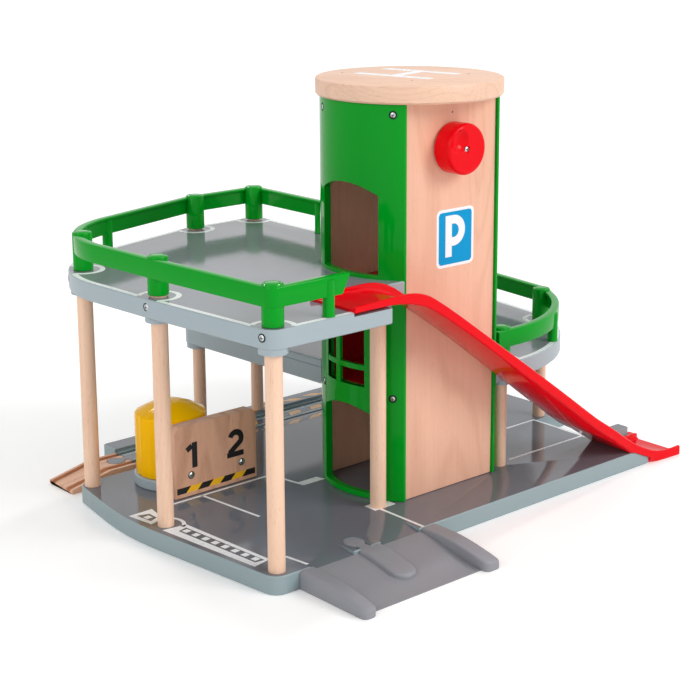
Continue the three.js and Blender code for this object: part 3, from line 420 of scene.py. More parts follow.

# Marks along the track: pale lines of painted highlight and dark lines of painted shade edge each groove in
# the routed bed, and printed slanted warning blocks lie between the grooves and on the board beside the bed
track_middle = 212
track_level = 13
groove_out = 13
track_line = 1.1
block_length = 14
block_half = 4.4
side_block_half = 3.6
groove_highlight_ink = painted("groove_highlight_ink", (176, 200, 204), 0.2, 0.3)
slate_ink_and_groove_shade = painted("slate_ink_and_groove_shade", (74, 84, 98), 0.2, 0.3)
# The pale lines paint the highlights on the grooves' edges and the dark lines paint their shade; the same
# slate also prints the dark warning blocks.
for ink, mark_name, offsets in [(groove_highlight_ink, "track_painted_highlight_lines", (3.7, 6.3)),
                                (slate_ink_and_groove_shade, "track_painted_shade_lines", (5.0, 7.6))]:
    places = [track_middle + groove + shift for groove in (-groove_out, groove_out)
              for offset in offsets for shift in (-offset, offset)]
    lined(mark_name, ink, on_top(track_level * mm), track_line,
          [[(-166, y), (200, y)] for y in places if abs(y - track_middle) > block_half])


def slanted(sheet, x, y, half, skew):
    """A warning block with its near left corner at x, centred on y, that leans by the skew."""
    patch(sheet, [(x, y - half), (x + block_length, y - half), (x + block_length + skew, y + half),
                  (x + skew, y + half)])


for ink, first_block, mark_name in [(orange_ink, 0, "track_orange_blocks"),
                                    (slate_ink_and_groove_shade, 1, "track_dark_blocks")]:
    middle_blocks = bmesh.new()
    side_blocks = bmesh.new()
    for k in range(first_block - 6, 14, 2):
        slanted(middle_blocks, block_length * k, track_middle, block_half, 5)
        slanted(side_blocks, block_length * k, track_middle - 30, side_block_half, 12)
        slanted(side_blocks, block_length * k, track_middle + 27, side_block_half, -12)
    printed(middle_blocks, mark_name, ink, on_top(track_level * mm))
    printed(side_blocks, mark_name + "_beside", ink, on_top(board_top))

# Stop block: an offcut of the same board, sprayed and printed alike, glued on beside the slide's foot
# at the right end
finished("slide_stop", "lacquered", "grey_board", [sprayed_edge, printed_top], pick=top_face)

# Short ramp of wooden track: beech, milled with two wheel grooves and eased along its edges.
# It hooks on the board's peg and slopes down to the floor.
wood, entry, leave = start_group(
    "beech_figure", {"Pale": (0.8, 0.5, 0.35, 1), "Dark": (0.5, 0.25, 0.15, 1), "Figure": 0.3,
                     "Fleck": 0.4, "Rings": 120.0})
long_grain, fleck_grain, fibre_grain = [
    add_node(wood, "VectorMath", {0: entry["Vector"], 1: (1, 1, squash)},
             operation="MULTIPLY").outputs[0] for squash in (0.16, 0.11, 0.03)]
contour = maths(wood, "MULTIPLY", noise(wood, long_grain, 14.0, 1.0, 0.4), entry["Rings"])
growth = remap(wood, maths(wood, "SINE", contour), 0.2, 1.0)
fleck = remap(wood, noise(wood, fleck_grain, 1100.0, 2.0), 0.6, 0.72)
fibre = noise(wood, fibre_grain, 420.0, 3.0)
patchy = noise(wood, long_grain, 30.0, 2.0)
figured = maths(wood, "ADD", maths(wood, "MULTIPLY", growth, entry["Figure"]),
                maths(wood, "MULTIPLY", fleck, entry["Fleck"]))
plain = maths(wood, "ADD", remap(wood, fibre, 0.3, 0.7, 0.0, 0.14), remap(wood, patchy, 0.35, 0.7, 0.0, 0.15))
darkness = maths(wood, "ADD", figured, plain, use_clamp=True)
wood_colour = add_node(wood, "Mix", {"Factor": darkness, 6: entry["Pale"], 7: entry["Dark"]},
                       data_type="RGBA")
feed(wood, leave, {"Color": wood_colour.outputs[2], "Height": fibre,
                   "Roughness": remap(wood, darkness, 0, 1, 0.42, 0.62)})


def beech(name, turn=(0, 0, 0), start=(0, 0, 0), pale=(240, 202, 176), dark=(196, 142, 108),
          growth_lines=0.3, flecks=0.45, rings=120.0):
    """Beech whose grain runs along Z once the pattern is turned."""
    return wearing(name, wood,
                   {"Pale": colour(*pale), "Dark": colour(*dark), "Figure": growth_lines, "Fleck": flecks,
                    "Rings": rings}, 0.12, {"Rotation": turn, "Location": start})


track_beech = beech("beech_track", turn=(0, radians(90), 0), pale=(232, 184, 152), dark=(186, 124, 90))
# The groove floors take a darker beech that paints the shade down in the grooves.
groove_shade_beech = beech("beech_groove_shade", turn=(0, radians(90), 0), pale=(206, 146, 108), dark=(160, 100, 70))
groove_half = 2.9


def groove_floor(face):
    """One for a face that looks up from the bottom of a wheel groove, to take the darker beech of painted
    shade.
    """
    away = abs(face.calc_center_median().y / mm - track_middle)
    return int(face.normal.z > 0.7 and abs(away - groove_out) < groove_half)


finished("track_ramp", "beech", "beech", [track_beech, groove_shade_beech], "track", ease=0.7,
         pick=groove_floor)


# Dowels: turned beech rods, chamfered at both ends, pushed through the decks and glued into the board.
# Each was cut from another stick, so its grain starts elsewhere.
def faces_at(verts):
    """All faces that meet at some points."""
    return list({face for vert in verts for face in vert.link_faces})


def welded(shape, before, reach):
    """The points that a shape has gained since a set was taken, once those within reach are merged."""
    bmesh.ops.remove_doubles(shape, verts=[vert for vert in shape.verts if vert not in before],
                             dist=reach * mm)
    return [vert for vert in shape.verts if vert not in before]


def turn_up(shape, profile, place=Matrix.Identity(4), steps=48):
    """Spins a profile of radius and height pairs, in millimetres, once round an axis put in place."""
    before = set(shape.verts)
    line = [shape.verts.new((radius * mm, 0, height * mm)) for radius, height in profile]
    edges = [shape.edges.new(pair) for pair in zip(line, line[1:])]
    bmesh.ops.spin(shape, geom=line + edges, cent=(0, 0, 0), axis=(0, 0, 1), angle=2 * pi, steps=steps,
                   use_merge=True)
    fresh = welded(shape, before, 0.005)
    bmesh.ops.transform(shape, matrix=place, verts=fresh)
    bmesh.ops.recalc_face_normals(shape, faces=faces_at(fresh))


def made_of(shape, name, body, slot, skins, *nodes, sharp=30, ease=0.0):
    """Makes a piece of a finished shape, with its edges eased if asked."""
    mesh = bpy.data.meshes.new(name)
    shape.to_mesh(mesh)
    shape.free()
    for skin in skins:
        mesh.materials.append(skin)
    shade(mesh, sharp)
    piece = place_piece(name, mesh, body, slot, *nodes)
    if ease:
        ease_edges(piece, ease, sharp)
    return piece


def upright(node):
    """The middle of an upright round solid's foot, with its radius and height in millimetres."""
    low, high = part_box(node)
    foot = Vector(((low.x + high.x) / 2, (low.y + high.y) / 2, low.z))
    return foot, (high.x - low.x) / 2 / mm, (high.z - low.z) / mm


dowel_chamfer = 0.9
for count, spot in enumerate(["front_left", "mid_left", "rear_left", "beside_slide", "rear_middle",
                              "rear_tower", "front_right", "far_right"]):
    foot, radius, rod_height = upright("dowel_" + spot)
    dowel_beech = beech("beech_dowel_" + spot, start=(0.37 * count, 0.53 * count, 0.19 * count),
                        pale=(246, 208, 180), dark=(214, 160, 128), growth_lines=0.1, flecks=0.4)
    rod = bmesh.new()
    turn_up(rod, [(0, 0), (radius - dowel_chamfer, 0), (radius, dowel_chamfer),
                  (radius, rod_height - dowel_chamfer), (radius - dowel_chamfer, rod_height),
                  (0, rod_height)],
            Matrix.Translation(foot))
    made_of(rod, "dowel_" + spot + "_turned", "garage", "beech", [dowel_beech], "dowel_" + spot)

# Decks: the same lacquered board with a paler print on top. White lane lines follow the edge and bend
# round the posts.
deck_print = painted("grey_deck_print", (130, 133, 141), 0.07, 0.13, cloud_swing=0.06, peel=0.015,
                     shine=0.4)
deck_edge = painted("grey_deck_edge", (160, 174, 180), 0.3, 0.42, cloud_swing=0.05)
for node in ("top_deck", "mid_deck"):
    finished(node, "lacquered", "grey_board", [deck_edge, deck_print], pick=top_face)


def wrap(circles, closed=False, step=2.0):
    """Plan points of a band drawn tight round circles of centre and radius, anticlockwise."""
    count = len(circles)
    headings = []
    for i in range(count if closed else count - 1):
        ax, ay, ar = circles[i]
        bx, by, br = circles[(i + 1) % count]
        headings.append(atan2(by - ay, bx - ax) - asin((br - ar) / hypot(bx - ax, by - ay)))
    points = []
    for i, (x, y, radius) in enumerate(circles):
        if radius == 0 or (not closed and i in (0, count - 1)):
            points.append((x, y))
            continue
        into = headings[i - 1]
        turn = atan2(sin(headings[i] - into), cos(headings[i] - into))
        steps = max(1, ceil(abs(turn) * radius / step))
        for k in range(steps + 1):
            heading = into + turn * k / steps
            points.append((x + radius * sin(heading), y - radius * cos(heading)))
    return points


top_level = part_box("top_deck")[1].z
mid_level = 117.6 * mm
lane_line = 4.6
lane_inset = 3.4
second_coat = 0.3
lined("top_deck_lines", white_ink, on_top(top_level), lane_line, [
    [(-120.5, -107.5 + lane_inset), (-217, -107.5 + lane_inset)],
    [(-240.7, -82), (-250.4, 29)],
    [(-252.2, 53.8)] + arc(-156, 122, 103 - lane_inset, 183.3, 159.8),
    arc(-156, 122, 103 - lane_inset, 143.2, 104.9) + [(-76.1, 246.7)],
    [(-47, 253.5 - lane_inset), (-2, 253.5 - lane_inset)],
    [(20.5, 228), (20.5, 84)],
])
lined("top_deck_bows", white_ink, on_top(top_level, second_coat), lane_line,
      [arc(x, y, 16.6, start, end, 30) for x, y, start, end in [
          (-230, -95, -36, 126), (-240.5, 42, -128, 135), (-235, 165, -151, 95), (-60.5, 241, 160, 395),
          (11.5, 241, 144, 306)]])
lined("mid_deck_lines", white_ink, on_top(mid_level), lane_line,
      [wrap([(64, -55.9 + lane_inset, 0), (86, 94.1, 150 - lane_inset), (211.5, 31.8, 13.5 - lane_inset),
             (137, 152.5, 101 - lane_inset), (40, 253.5 - lane_inset, 0)])])
lined("mid_deck_bows", white_ink, on_top(mid_level, second_coat), lane_line,
      [arc(75.2, -43.4, 16, -30, 150, 20), arc(211.5, 31.8, 16, 80, 230, 20)])


# Cross-head screws, zinc plated, each set in a flat dark disc of painted shadow that stands for its
# counterbore:
# three in the top deck's edge, eight in the tower's shells and two in the number wall
def metal(name, tint, smooth, rough):
    """Plated steel with faint turning marks."""
    return painted(name, tint, smooth, rough, cloud_swing=0.2, cloud_size=300.0, peel=0.15,
                   metallic=1)


zinc = metal("zinc_plate", (205, 207, 208), 0.22, 0.4)
# The discs' dark colour is painted shadow, standing for the inside of a counterbore.
bore_shadow = painted("counterbore_shadow", (30, 54, 44), 0.6, 0.7, shine=0.1)


def cross_screw(name, spot, toward, head, shadow_radius=0.0, shank=0.0, body="garage", nodes=()):
    """A pan head with a cross recess, facing a direction, on a flat dark disc of painted shadow for its
    counterbore.
    """
    shape = bmesh.new()
    bmesh.ops.create_circle(shape, cap_ends=True, radius=head * mm, segments=32)
    slot_half = head * 0.14 * mm
    slot_reach = head * 0.62 * mm
    for normal in [(1, 0, 0), (0, 1, 0)]:
        for offset in (-slot_reach, -slot_half, slot_half, slot_reach):
            bmesh.ops.bisect_plane(shape, geom=shape.verts[:] + shape.edges[:] + shape.faces[:],
                                   plane_co=Vector(normal) * offset, plane_no=normal)
    cross = []
    for face in shape.faces:
        x, y, _ = face.calc_center_median()
        if max(abs(x), abs(y)) < slot_reach and min(abs(x), abs(y)) < slot_half:
            cross.append(face)
    dome, recess_deep, skirt_deep = 0.3 * head * mm, 0.4 * head * mm, 0.45 * head * mm
    for vert in shape.verts:
        vert.co.z = dome * (1 - (hypot(vert.co.x, vert.co.y) / (head * mm)) ** 2)
    recess = verts_of(bmesh.ops.extrude_face_region(shape, geom=cross))
    bmesh.ops.translate(shape, vec=(0, 0, -recess_deep), verts=recess)
    bmesh.ops.delete(shape, geom=[face for face in cross if face.is_valid], context="FACES_ONLY")
    rim = [edge for edge in shape.edges if edge.is_boundary]
    skirt = verts_of(bmesh.ops.extrude_edge_only(shape, edges=rim))
    bmesh.ops.translate(shape, vec=(0, 0, -skirt_deep), verts=skirt)
    bmesh.ops.holes_fill(shape, edges=[edge for edge in shape.edges if edge.is_boundary])
    bmesh.ops.recalc_face_normals(shape, faces=shape.faces)
    # The counterbore is not cut: a flat dark disc paints its shadow round the head.
    if shadow_radius:
        metal_faces = set(shape.faces)
        turn_up(shape, [(0, 0.02), (shadow_radius - 0.25, 0.06), (shadow_radius, 0.0), (shadow_radius, -0.4), (0, -0.4)], steps=32)
        for face in shape.faces:
            face.material_index = int(face not in metal_faces)
    if shank:
        turn_up(shape, [(0, -0.5), (head * 0.6, -0.5), (head * 0.6, -shank), (0, -shank)], steps=24)
    facing = Vector(toward).to_track_quat("Z", "Y").to_matrix().to_4x4()
    bmesh.ops.transform(shape, matrix=at(*spot) @ facing, verts=shape.verts)
    return made_of(shape, name, body, "steel", [zinc, bore_shadow], *nodes)


def bearing_screw(name, x, y, reach, bearing, z, head, shadow_radius):
    """A screw that faces away from a centre, at a reach and a bearing in degrees from it."""
    cross_screw(name, (*polar(x, y, reach, bearing), z), (*polar(0, 0, 1, bearing), 0), head, shadow_radius=shadow_radius)


for count, place in enumerate([(-230, -95, 12.5, 188, 208.5), (-240.5, 42, 14, 189, 208.5),
                               (-156, 122, 103, 150, 207.5)]):
    bearing_screw("deck_screw_%d" % (count + 1), *place, 2.6, 3.6)

# Fences: glossy green mouldings, each one rail with an inner lip, sleeves that slip over the dowels, and
# thin posts that stand on the deck
green_gloss = painted("green_moulding", (0, 154, 34), 0.05, 0.09, cloud_swing=0.08, cloud_size=30.0,
                      speck_swing=0.0, peel=0.012, shine=0.12)


def close_up(shape, verts):
    """Merges the seams of a swept sheet, closes its ends and turns its faces outwards."""
    fresh = welded(shape, set(shape.verts) - set(verts), 0.004)
    edges = {edge for vert in fresh for edge in vert.link_edges if edge.is_boundary}
    if edges:
        bmesh.ops.holes_fill(shape, edges=list(edges))
    bmesh.ops.recalc_face_normals(shape, faces=faces_at(fresh))


def sweep(shape, line, section, slant_foot=0.0, slant_height=1.0):
    """Sweeps a closed section of offsets to the left and heights along a line of plan points."""
    points = [Vector(point) for point in line]
    turned = mitred(points)
    high = max(z for _, z in section)

    def spot(i, j):
        offset, z = section[j % len(section)]
        across, along = turned[i]
        point = points[i] + across * offset
        if slant_foot and i == len(points) - 1:
            point -= along * slant_foot * (high - z) / slant_height
        return point.x, point.y, z
    close_up(shape, grid_of(shape, len(points) - 1, len(section), spot))


rail_height = 16
sleeve_radius, sleeve_bore = 8.75, 7.3
post_radius, post_foot_radius = 4.75, 5.1


def rail_section(foot):
    """The rail's section, with rounded edges and a lip inside its top edge."""
    head = foot + rail_height
    return [(0, foot + 0.9), (0.25, foot + 0.25), (0.9, foot), (4.6, foot), (5.25, foot + 0.25),
            (5.5, foot + 0.9), (5.5, head - 3.1), (5.65, head - 2.75), (6.0, head - 2.6),
            (7.0, head - 2.6), (7.4, head - 2.2),
            (7.5, head - 1.6), (7.5, head - 0.7), (7.25, head - 0.2), (6.7, head), (1.3, head),
            (0.4, head - 0.35), (0, head - 1.2)]


def fence(node, name, line, foot, sleeves, posts, deck_level, dowel_top, slant=0.0):
    """One moulded fence. Sleeves are centres with the height of their foot, posts are centres."""
    shape = bmesh.new()
    sweep(shape, line, rail_section(foot), slant, rail_height)
    head = foot + rail_height
    for x, y, sleeve_foot in sleeves:
        turn_up(shape, [(0, head + 2), (5.2, head + 1.95), (6.3, head + 1.4), (7.4, head + 1.75),
                        (8.2, head + 1.3), (sleeve_radius, head + 0.3), (sleeve_radius, sleeve_foot + 0.4),
                        (8.4, sleeve_foot), (sleeve_bore, sleeve_foot), (sleeve_bore, dowel_top + 0.3),
                        (0, dowel_top + 0.3)], at(x, y, 0), steps=56)
    for x, y in posts:
        turn_up(shape, [(0, head - 2.6), (post_radius, head - 2.6), (post_radius, deck_level + 1.6),
                        (post_foot_radius, deck_level + 0.9), (post_foot_radius, deck_level + 0.3),
                        (0, deck_level + 0.3)], at(x, y, 0), steps=40)
    return made_of(shape, name, "garage", "green_plastic", [green_gloss], node)


top_rail_foot = 231.5
mid_rail_foot = 131.8
dowel_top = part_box("dowel_front_left")[1].z / mm
low_dowel_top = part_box("dowel_front_right")[1].z / mm
top_height = top_level / mm
mid_height = mid_level / mm
round_rail = 97.85
fence("top_fence", "top_fence_moulding",
      wrap([(20.85, 53.2, 0), (11.5, 241, 9.35), (-60.5, 241, 9.35), (-156, 122, round_rail),
            (-240.5, 42, 9.35), (-230, -95, 9.35), (-160, -104.35, 0)]), top_rail_foot,
      [(-230, -95, top_height + 0.3), (-240.5, 42, top_height + 1.6), (-235, 165, top_height + 0.3),
       (-60.5, 241, top_height + 1.6), (11.5, 241, top_height + 1.6)],
      [(-180, -101.6), (-178, 214.5), (18.1, 146)], top_height, dowel_top, slant=8)
front_sweep = (86, 94.1)
far_sweep = (137, 152.5)
fence("right_fence", "right_fence_moulding",
      wrap([(62, -53.9, 0), (*front_sweep, 148), (196.2, 44.9, 29), (*far_sweep, 99), (42, 251.5, 0)]),
      mid_rail_foot, [(75.2, -43.4, mid_height + 0.3), (211.5, 31.8, mid_height + 0.3)],
      [polar(*front_sweep, 145.25, -60), polar(*far_sweep, 96.25, -8), polar(*far_sweep, 96.25, 55),
       (46.75, 248.4)], mid_height, low_dowel_top)

# Slide: a glossy red moulded trough with a rolled rim, hung in the top deck and resting on the board's
# bevel. The hook behind its foot is pressed low.
red_gloss = painted("red_moulding", (232, 0, 18), 0.05, 0.09, cloud_swing=0.06, cloud_size=30.0,
                    speck_swing=0.0, peel=0.012, shine=0.12)
slide = finished("slide_chute", "moulding", "red_plastic", [red_gloss], "chute", ease=0.45,
                 join_flat=False)
hook_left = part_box("slide_stop")[1].x + 0.1 * mm
hook_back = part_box("slide_chute")[1].y - 9 * mm
for vert in slide.data.vertices:
    if vert.co.x > hook_left and vert.co.y > hook_back and vert.co.z > 8 * mm:
        vert.co.z = 8 * mm + 0.15 * (vert.co.z - 8 * mm)


# Tower shells: two curved green mouldings with arched doorways and cross-barred windows, screwed to
# the edges of the beech panels
def spread(stops, step):
    """The stops in order, with even steps between them that are no longer than the step."""
    stops = sorted(set(stops))
    out = stops[:1]
    for first, last in zip(stops, stops[1:]):
        count = ceil((last - first) / step)
        out += [first + (last - first) * k / count for k in range(1, count + 1)]
    return out


shell_radius = 79
shell_thick = 7
shell_half = 55.1
door_half = 33.5
door_shoulder = 69.3
door_rise = 9.4
door_curve = (door_half ** 2 + door_rise ** 2) / (2 * door_rise)
pane_half = 23.9
window_high = 58
bar_middle = 7.2
bar_width = 6.0
bar_foot = 14.5
lattice_deep = 3.4
panel_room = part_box("tower_front_panel")[1].x / mm + 0.1
panel_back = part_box("tower_back_panel")[0].y / mm


def arch(away):
    """Height of a doorway's arch over its shoulder, at a distance from its middle."""
    return door_rise - door_curve + sqrt(door_curve ** 2 - away ** 2) if abs(away) < door_half else 0


def curved_sheet(shape, side, across, up, outer, deep, middle, is_open):
    """A curved sheet of columns across and rows up, with openings, given its thickness."""
    before = set(shape.verts)
    verts = grid_of(shape, len(across) - 1, len(up) - 1,
                    lambda i, j: (0, across[i], up[j][0] + (arch(across[i] - middle) if up[j][1] else 0)))
    gone = []
    for face in faces_at(verts):
        centre = face.calc_center_median() / mm
        if is_open(centre.y, centre.z):
            gone.append(face)
    bmesh.ops.delete(shape, geom=gone, context="FACES")
    fresh = welded(shape, before, merge_reach)
    inner = verts_of(bmesh.ops.extrude_face_region(shape, geom=faces_at(fresh)))
    for vert in fresh:
        vert.co.x = side * sqrt((outer * mm) ** 2 - vert.co.y ** 2)
    for vert in inner:
        reach = sqrt(((outer - deep) * mm) ** 2 - vert.co.y ** 2)
        if abs(vert.co.y) > (panel_back - 0.3) * mm:
            reach = max(reach, panel_room * mm)
        vert.co.x = side * reach
    bmesh.ops.recalc_face_normals(shape, faces=faces_at(fresh + inner))


shell_low, shell_high = [end.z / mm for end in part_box("tower_left_shell")]
door_off_middle = 3
bar_head = bar_foot + bar_width - 1
for node, side, doors, windows, bearings in [("tower_left_shell", -1, (21, 218), (118,), (-143, 155)),
                                             ("tower_right_shell", 1, (118,), (23, 220), (-37, 37))]:
    shape = bmesh.new()
    middle = side * door_off_middle

    def is_open(y, z):
        door_high = door_shoulder + arch(y - middle)
        return (any(abs(y - middle) < door_half and sill < z < sill + door_high for sill in doors)
                or any(abs(y) < pane_half and foot < z < foot + window_high for foot in windows))
    across = spread([-shell_half, -panel_back, middle - door_half, -pane_half, pane_half, middle + door_half,
                     panel_back, shell_half], 3)
    stops = [shell_low, shell_high, *doors, *windows] + [foot + window_high for foot in windows]
    up = [(z, False) for z in spread(stops, 40)
          if not any(sill < z <= sill + door_shoulder + door_rise + 2 for sill in doors)]
    for sill in doors:
        shoulder = sill + door_shoulder
        up += [(shoulder, False), (shoulder, True), (shoulder + 14, False)]
    up.sort()
    curved_sheet(shape, side, across, up, shell_radius, shell_thick, middle, is_open)
    for foot in windows:
        bars_across = spread([-pane_half - 1, -pane_half, bar_middle - bar_width / 2,
                              bar_middle + bar_width / 2, pane_half, pane_half + 1], 3)
        bars_up = [(foot + z, False) for z in (-1, 0, bar_foot, bar_head, window_high, window_high + 1)]

        def is_pane(y, z):
            return (abs(y) < pane_half and foot < z < foot + window_high
                    and abs(y - bar_middle) > bar_width / 2 and not bar_foot < z - foot < bar_head)
        curved_sheet(shape, side, bars_across, bars_up, shell_radius - 0.4, lattice_deep, middle, is_pane)
    made_of(shape, node + "_moulding", "garage", "green_plastic", [green_gloss], node, sharp=40, ease=0.6)
    for count, bearing in enumerate(bearings):
        for level_name, z in (("top", 356.5), ("low", 110.3)):
            bearing_screw("%s_screw_%s_%d" % (node, level_name, count + 1), 0, 0, shell_radius, bearing, z,
                          2.2, 3.7)

# Tower panels: two planks of beech, planed and lacquered, with the shaft's bushes through them.
# The front one carries a nail above the knob.
front_beech = beech("beech_front_panel", start=(0.21, 0, 0.4), pale=(238, 188, 160), dark=(208, 150, 120),
                    growth_lines=0.2, flecks=0.28, rings=60.0)
back_beech = beech("beech_back_panel", start=(0.8, 0.1, 0.2), pale=(255, 204, 176), dark=(224, 158, 126),
                   growth_lines=0.14, flecks=0.3)
for node, skin in (("tower_front_panel", front_beech), ("tower_back_panel", back_beech)):
    finished(node, "beech", "beech", [skin], ease=0.6)
nail_steel = metal("dull_steel", (120, 112, 104), 0.4, 0.6)
face_front = Matrix.Rotation(radians(90), 4, "X")


def nail(name, head, place):
    """A nail's flat head, driven flush."""
    shape = bmesh.new()
    turn_up(shape, [(0, 0.12), (head - 0.2, 0.08), (head, 0), (head, -0.5), (0, -0.5)], place, steps=20)
    made_of(shape, name, "garage", "steel", [nail_steel])


nail("panel_nail", 1.0, at(0.8, -52.8, 354) @ face_front)

# Parking sign on the front panel: a blue field with a white border and a white P, printed in three
# passes
sign_blue = painted("blue_ink", (0, 150, 206), 0.3, 0.4, shine=0.12)
panel_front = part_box("tower_front_panel")[0].y


def on_wall(face_y, layers=0):
    """The place of a sheet that stands against a wall's front face, over a number of layers of ink."""
    return Matrix.Translation((0, face_y - layers * ink_thick * mm, 0)) @ face_front


def rounded(low_x, low_y, high_x, high_y, radius):
    """Plan points of a rectangle with round corners."""
    return wrap([(low_x + radius, low_y + radius, radius), (high_x - radius, low_y + radius, radius),
                 (high_x - radius, high_y - radius, radius), (low_x + radius, high_y - radius, radius)],
                closed=True, step=0.6)


for layer, name, ink, margin in [(0, "parking_sign_border", white_ink, 0),
                                 (1, "parking_sign_field", sign_blue, 2.6)]:
    sheet = bmesh.new()
    patch(sheet, rounded(-17 + margin, 218.6 + margin, 28 - margin, 270 - margin, 5 - margin * 0.6))
    printed(sheet, name, ink, on_wall(panel_front, layer), "beech")
letter_stroke = 7.6
bowl = arc(3.6, 250.6, 9.8, 86, -86, 18)
lined("parking_sign_letter", white_ink, on_wall(panel_front, 2), letter_stroke,
      [[(-2.6, 227.6), (-2.6, 264.2)],
       [(1.2, 260.4), (3.6, 260.4)] + bowl + [(3.6, 240.8), (1.2, 240.8)]], "beech")

# Roof: a beech disc with eased edges, nailed on the panels and the shells, with a white landing mark
# printed on it
roof_foot, roof_radius, roof_thick = upright("roof_disc")
roof_top = roof_foot.z + roof_thick * mm
roof_ease = 1.6
roof_beech = beech("beech_roof", turn=(radians(90), radians(35), 0), start=(0.1, 0.3, 0.7),
                   pale=(240, 200, 174), dark=(198, 146, 114), growth_lines=0.12, flecks=0.45)
roof = bmesh.new()
turn_up(roof, [(0, 0), (roof_radius - roof_ease, 0), (roof_radius, roof_ease),
               (roof_radius, roof_thick - roof_ease),
               (roof_radius - roof_ease / 3, roof_thick - roof_ease / 3),
               (roof_radius - roof_ease, roof_thick), (0, roof_thick)],
        Matrix.Translation(roof_foot), steps=128)
made_of(roof, "roof_disc_beech", "garage", "beech", [roof_beech], "roof_disc")
mark_stroke = 10
mark_turn = at(10.4, 14.1, 0) @ Matrix.Rotation(radians(13.2), 4, "Z")
lined("landing_mark", white_ink, on_top(roof_top) @ mark_turn, mark_stroke,
      [[(-22, 40), (-22, -40)], [(22, 40), (22, -40)], [(-17, 0), (17, 0)]], "beech")
for count, (x, y) in enumerate([(-28.5, 56.9), (49.6, -23.2), (-24, -28.7)]):
    nail("roof_nail_%d" % (count + 1), 1.2, on_top(roof_top) @ at(x, y, 0))

# Crank: a red moulded knob with a finger dimple, screwed on a steel shaft that runs in two bushes and
# winds the cord on a yellow spool inside the tower
yellow_gloss = painted("yellow_moulding", (255, 192, 0), 0.08, 0.16, cloud_swing=0.06, speck_swing=0.0,
                       peel=0.02, shine=0.08)
steel_bar = metal("bright_steel", (200, 202, 205), 0.18, 0.32)
knob_low, knob_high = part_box("crank_knob")
knob_radius = (knob_high.x - knob_low.x) / 2 / mm
knob_thick = (knob_high.y - knob_low.y) / mm
crank_height = (knob_low.z + knob_high.z) / 2
knob_place = Matrix.Translation((0, knob_high.y, crank_height)) @ face_front
knob_round = 3.2
dimple_radius = 13
dimple_sunk = 5
dimple_x, dimple_y = polar(0, 0, 12, 140)
screw_seat = 3.1
knob = bmesh.new()
profile = [(0, 0), (knob_radius - 1, 0), (knob_radius, 1)]
profile += [(knob_radius, z) for z in (4, 8, 12, knob_thick - knob_round)]
face_radius = knob_radius - knob_round
profile += arc(face_radius, knob_thick - knob_round, knob_round, 15, 90, 5)
profile += [(face_radius * k / 24, knob_thick) for k in range(23, -1, -1)]
turn_up(knob, profile, steps=112)
for vert in knob.verts:
    away = hypot(vert.co.x / mm - dimple_x, vert.co.y / mm - dimple_y)
    if vert.co.z > (knob_thick - 0.01) * mm and away < dimple_radius:
        depth = sqrt(dimple_radius ** 2 - away ** 2) - (dimple_radius - dimple_sunk)
        vert.co.z -= max(depth, 0) * mm
    if hypot(vert.co.x, vert.co.y) / mm < screw_seat and vert.co.z > (knob_thick - dimple_sunk - 1) * mm:
        vert.co.z = (knob_thick - 1.3) * mm
bmesh.ops.transform(knob, matrix=knob_place, verts=knob.verts)
made_of(knob, "crank_knob_moulding", "crank", "red_plastic", [red_gloss], "crank_knob", sharp=28)
cross_screw("knob_screw_plated", (0, knob_low.y / mm + 1.2, crank_height / mm), (0, -1, 0), 2.3, shadow_radius=3.0,
            shank=8.0, body="crank", nodes=["knob_screw"])
for node, body, slot_name, skin in [
    ("crank_shaft", "crank", "steel", steel_bar), ("front_bush", "garage", "steel", steel_bar),
    ("back_bush", "garage", "steel", steel_bar), ("cord_spool", "crank", "yellow_plastic", yellow_gloss),
]:
    finished(node, "finished", slot_name, [skin], body, ease=0.1)

# Lift car: a dark red moulding, open at both ends, that slides up and down in the tower
car_red = painted("dark_red_moulding", (176, 4, 16), 0.2, 0.3, speck_swing=0.0, shine=0.25)
finished("lift_car", "moulding", "red_plastic", [car_red], "lift")

# Number wall: a small beech board behind the two bays, with their printed numbers, a striped band and
# two screws
wall_beech = beech("beech_number_wall", start=(0.5, 0.2, 0.9), pale=(226, 174, 144), dark=(178, 124, 94),
                   growth_lines=0.3, flecks=0.4, rings=70.0)
black_ink = painted("black_ink", (22, 22, 24), 0.35, 0.45, shine=0.3)
yellow_ink = painted("yellow_ink", (250, 190, 30), 0.35, 0.45, shine=0.3)
finished("number_wall", "beech", "beech", [wall_beech], ease=0.8)
wall_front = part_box("number_wall")[0].y
digits = bmesh.new()
ribbon(digits, [(-181, 42), (-181, 65.4)], 5.6)
ribbon(digits, [(-183.8, 62.6), (-189.4, 59.2)], 5.0)
ribbon(digits, arc(-135.9, 58.0, 6.3, 160, -28, 16) + [(-143.2, 45.4)], 5.4)
printed(digits, "bay_numbers", black_ink, on_wall(wall_front), "beech")
lined("bay_number_foot", black_ink, on_wall(wall_front, second_coat), 5.0,
      [[(-145.6, 43.8), (-127.2, 43.8)]], "beech")
band_left, band_right, band_foot, band_head = -200.6, -114.7, 20.3, 25.9
band_pieces = 7
band_slant = 5.5
piece_run = (band_right - band_left) / band_pieces
for shift, ink, band_name in [(0, black_ink, "wall_band_black"), (1, yellow_ink, "wall_band_yellow")]:
    sheet = bmesh.new()
    for k in range(shift, band_pieces, 2):
        first = band_left + piece_run * k
        last = first + piece_run
        lean_first = band_slant / 2 if k else 0
        lean_last = band_slant / 2 if k < band_pieces - 1 else 0
        patch(sheet, [(first - lean_first, band_foot), (last - lean_last, band_foot),
                      (last + lean_last, band_head), (first + lean_first, band_head)])
    printed(sheet, band_name, ink, on_wall(wall_front), "beech")
for count, (x, z) in enumerate([(-185, 35.6), (-129.6, 34.6)]):
    cross_screw("wall_screw_%d" % (count + 1), (x, 82, z), (0, -1, 0), 2.8, shadow_radius=3.5)

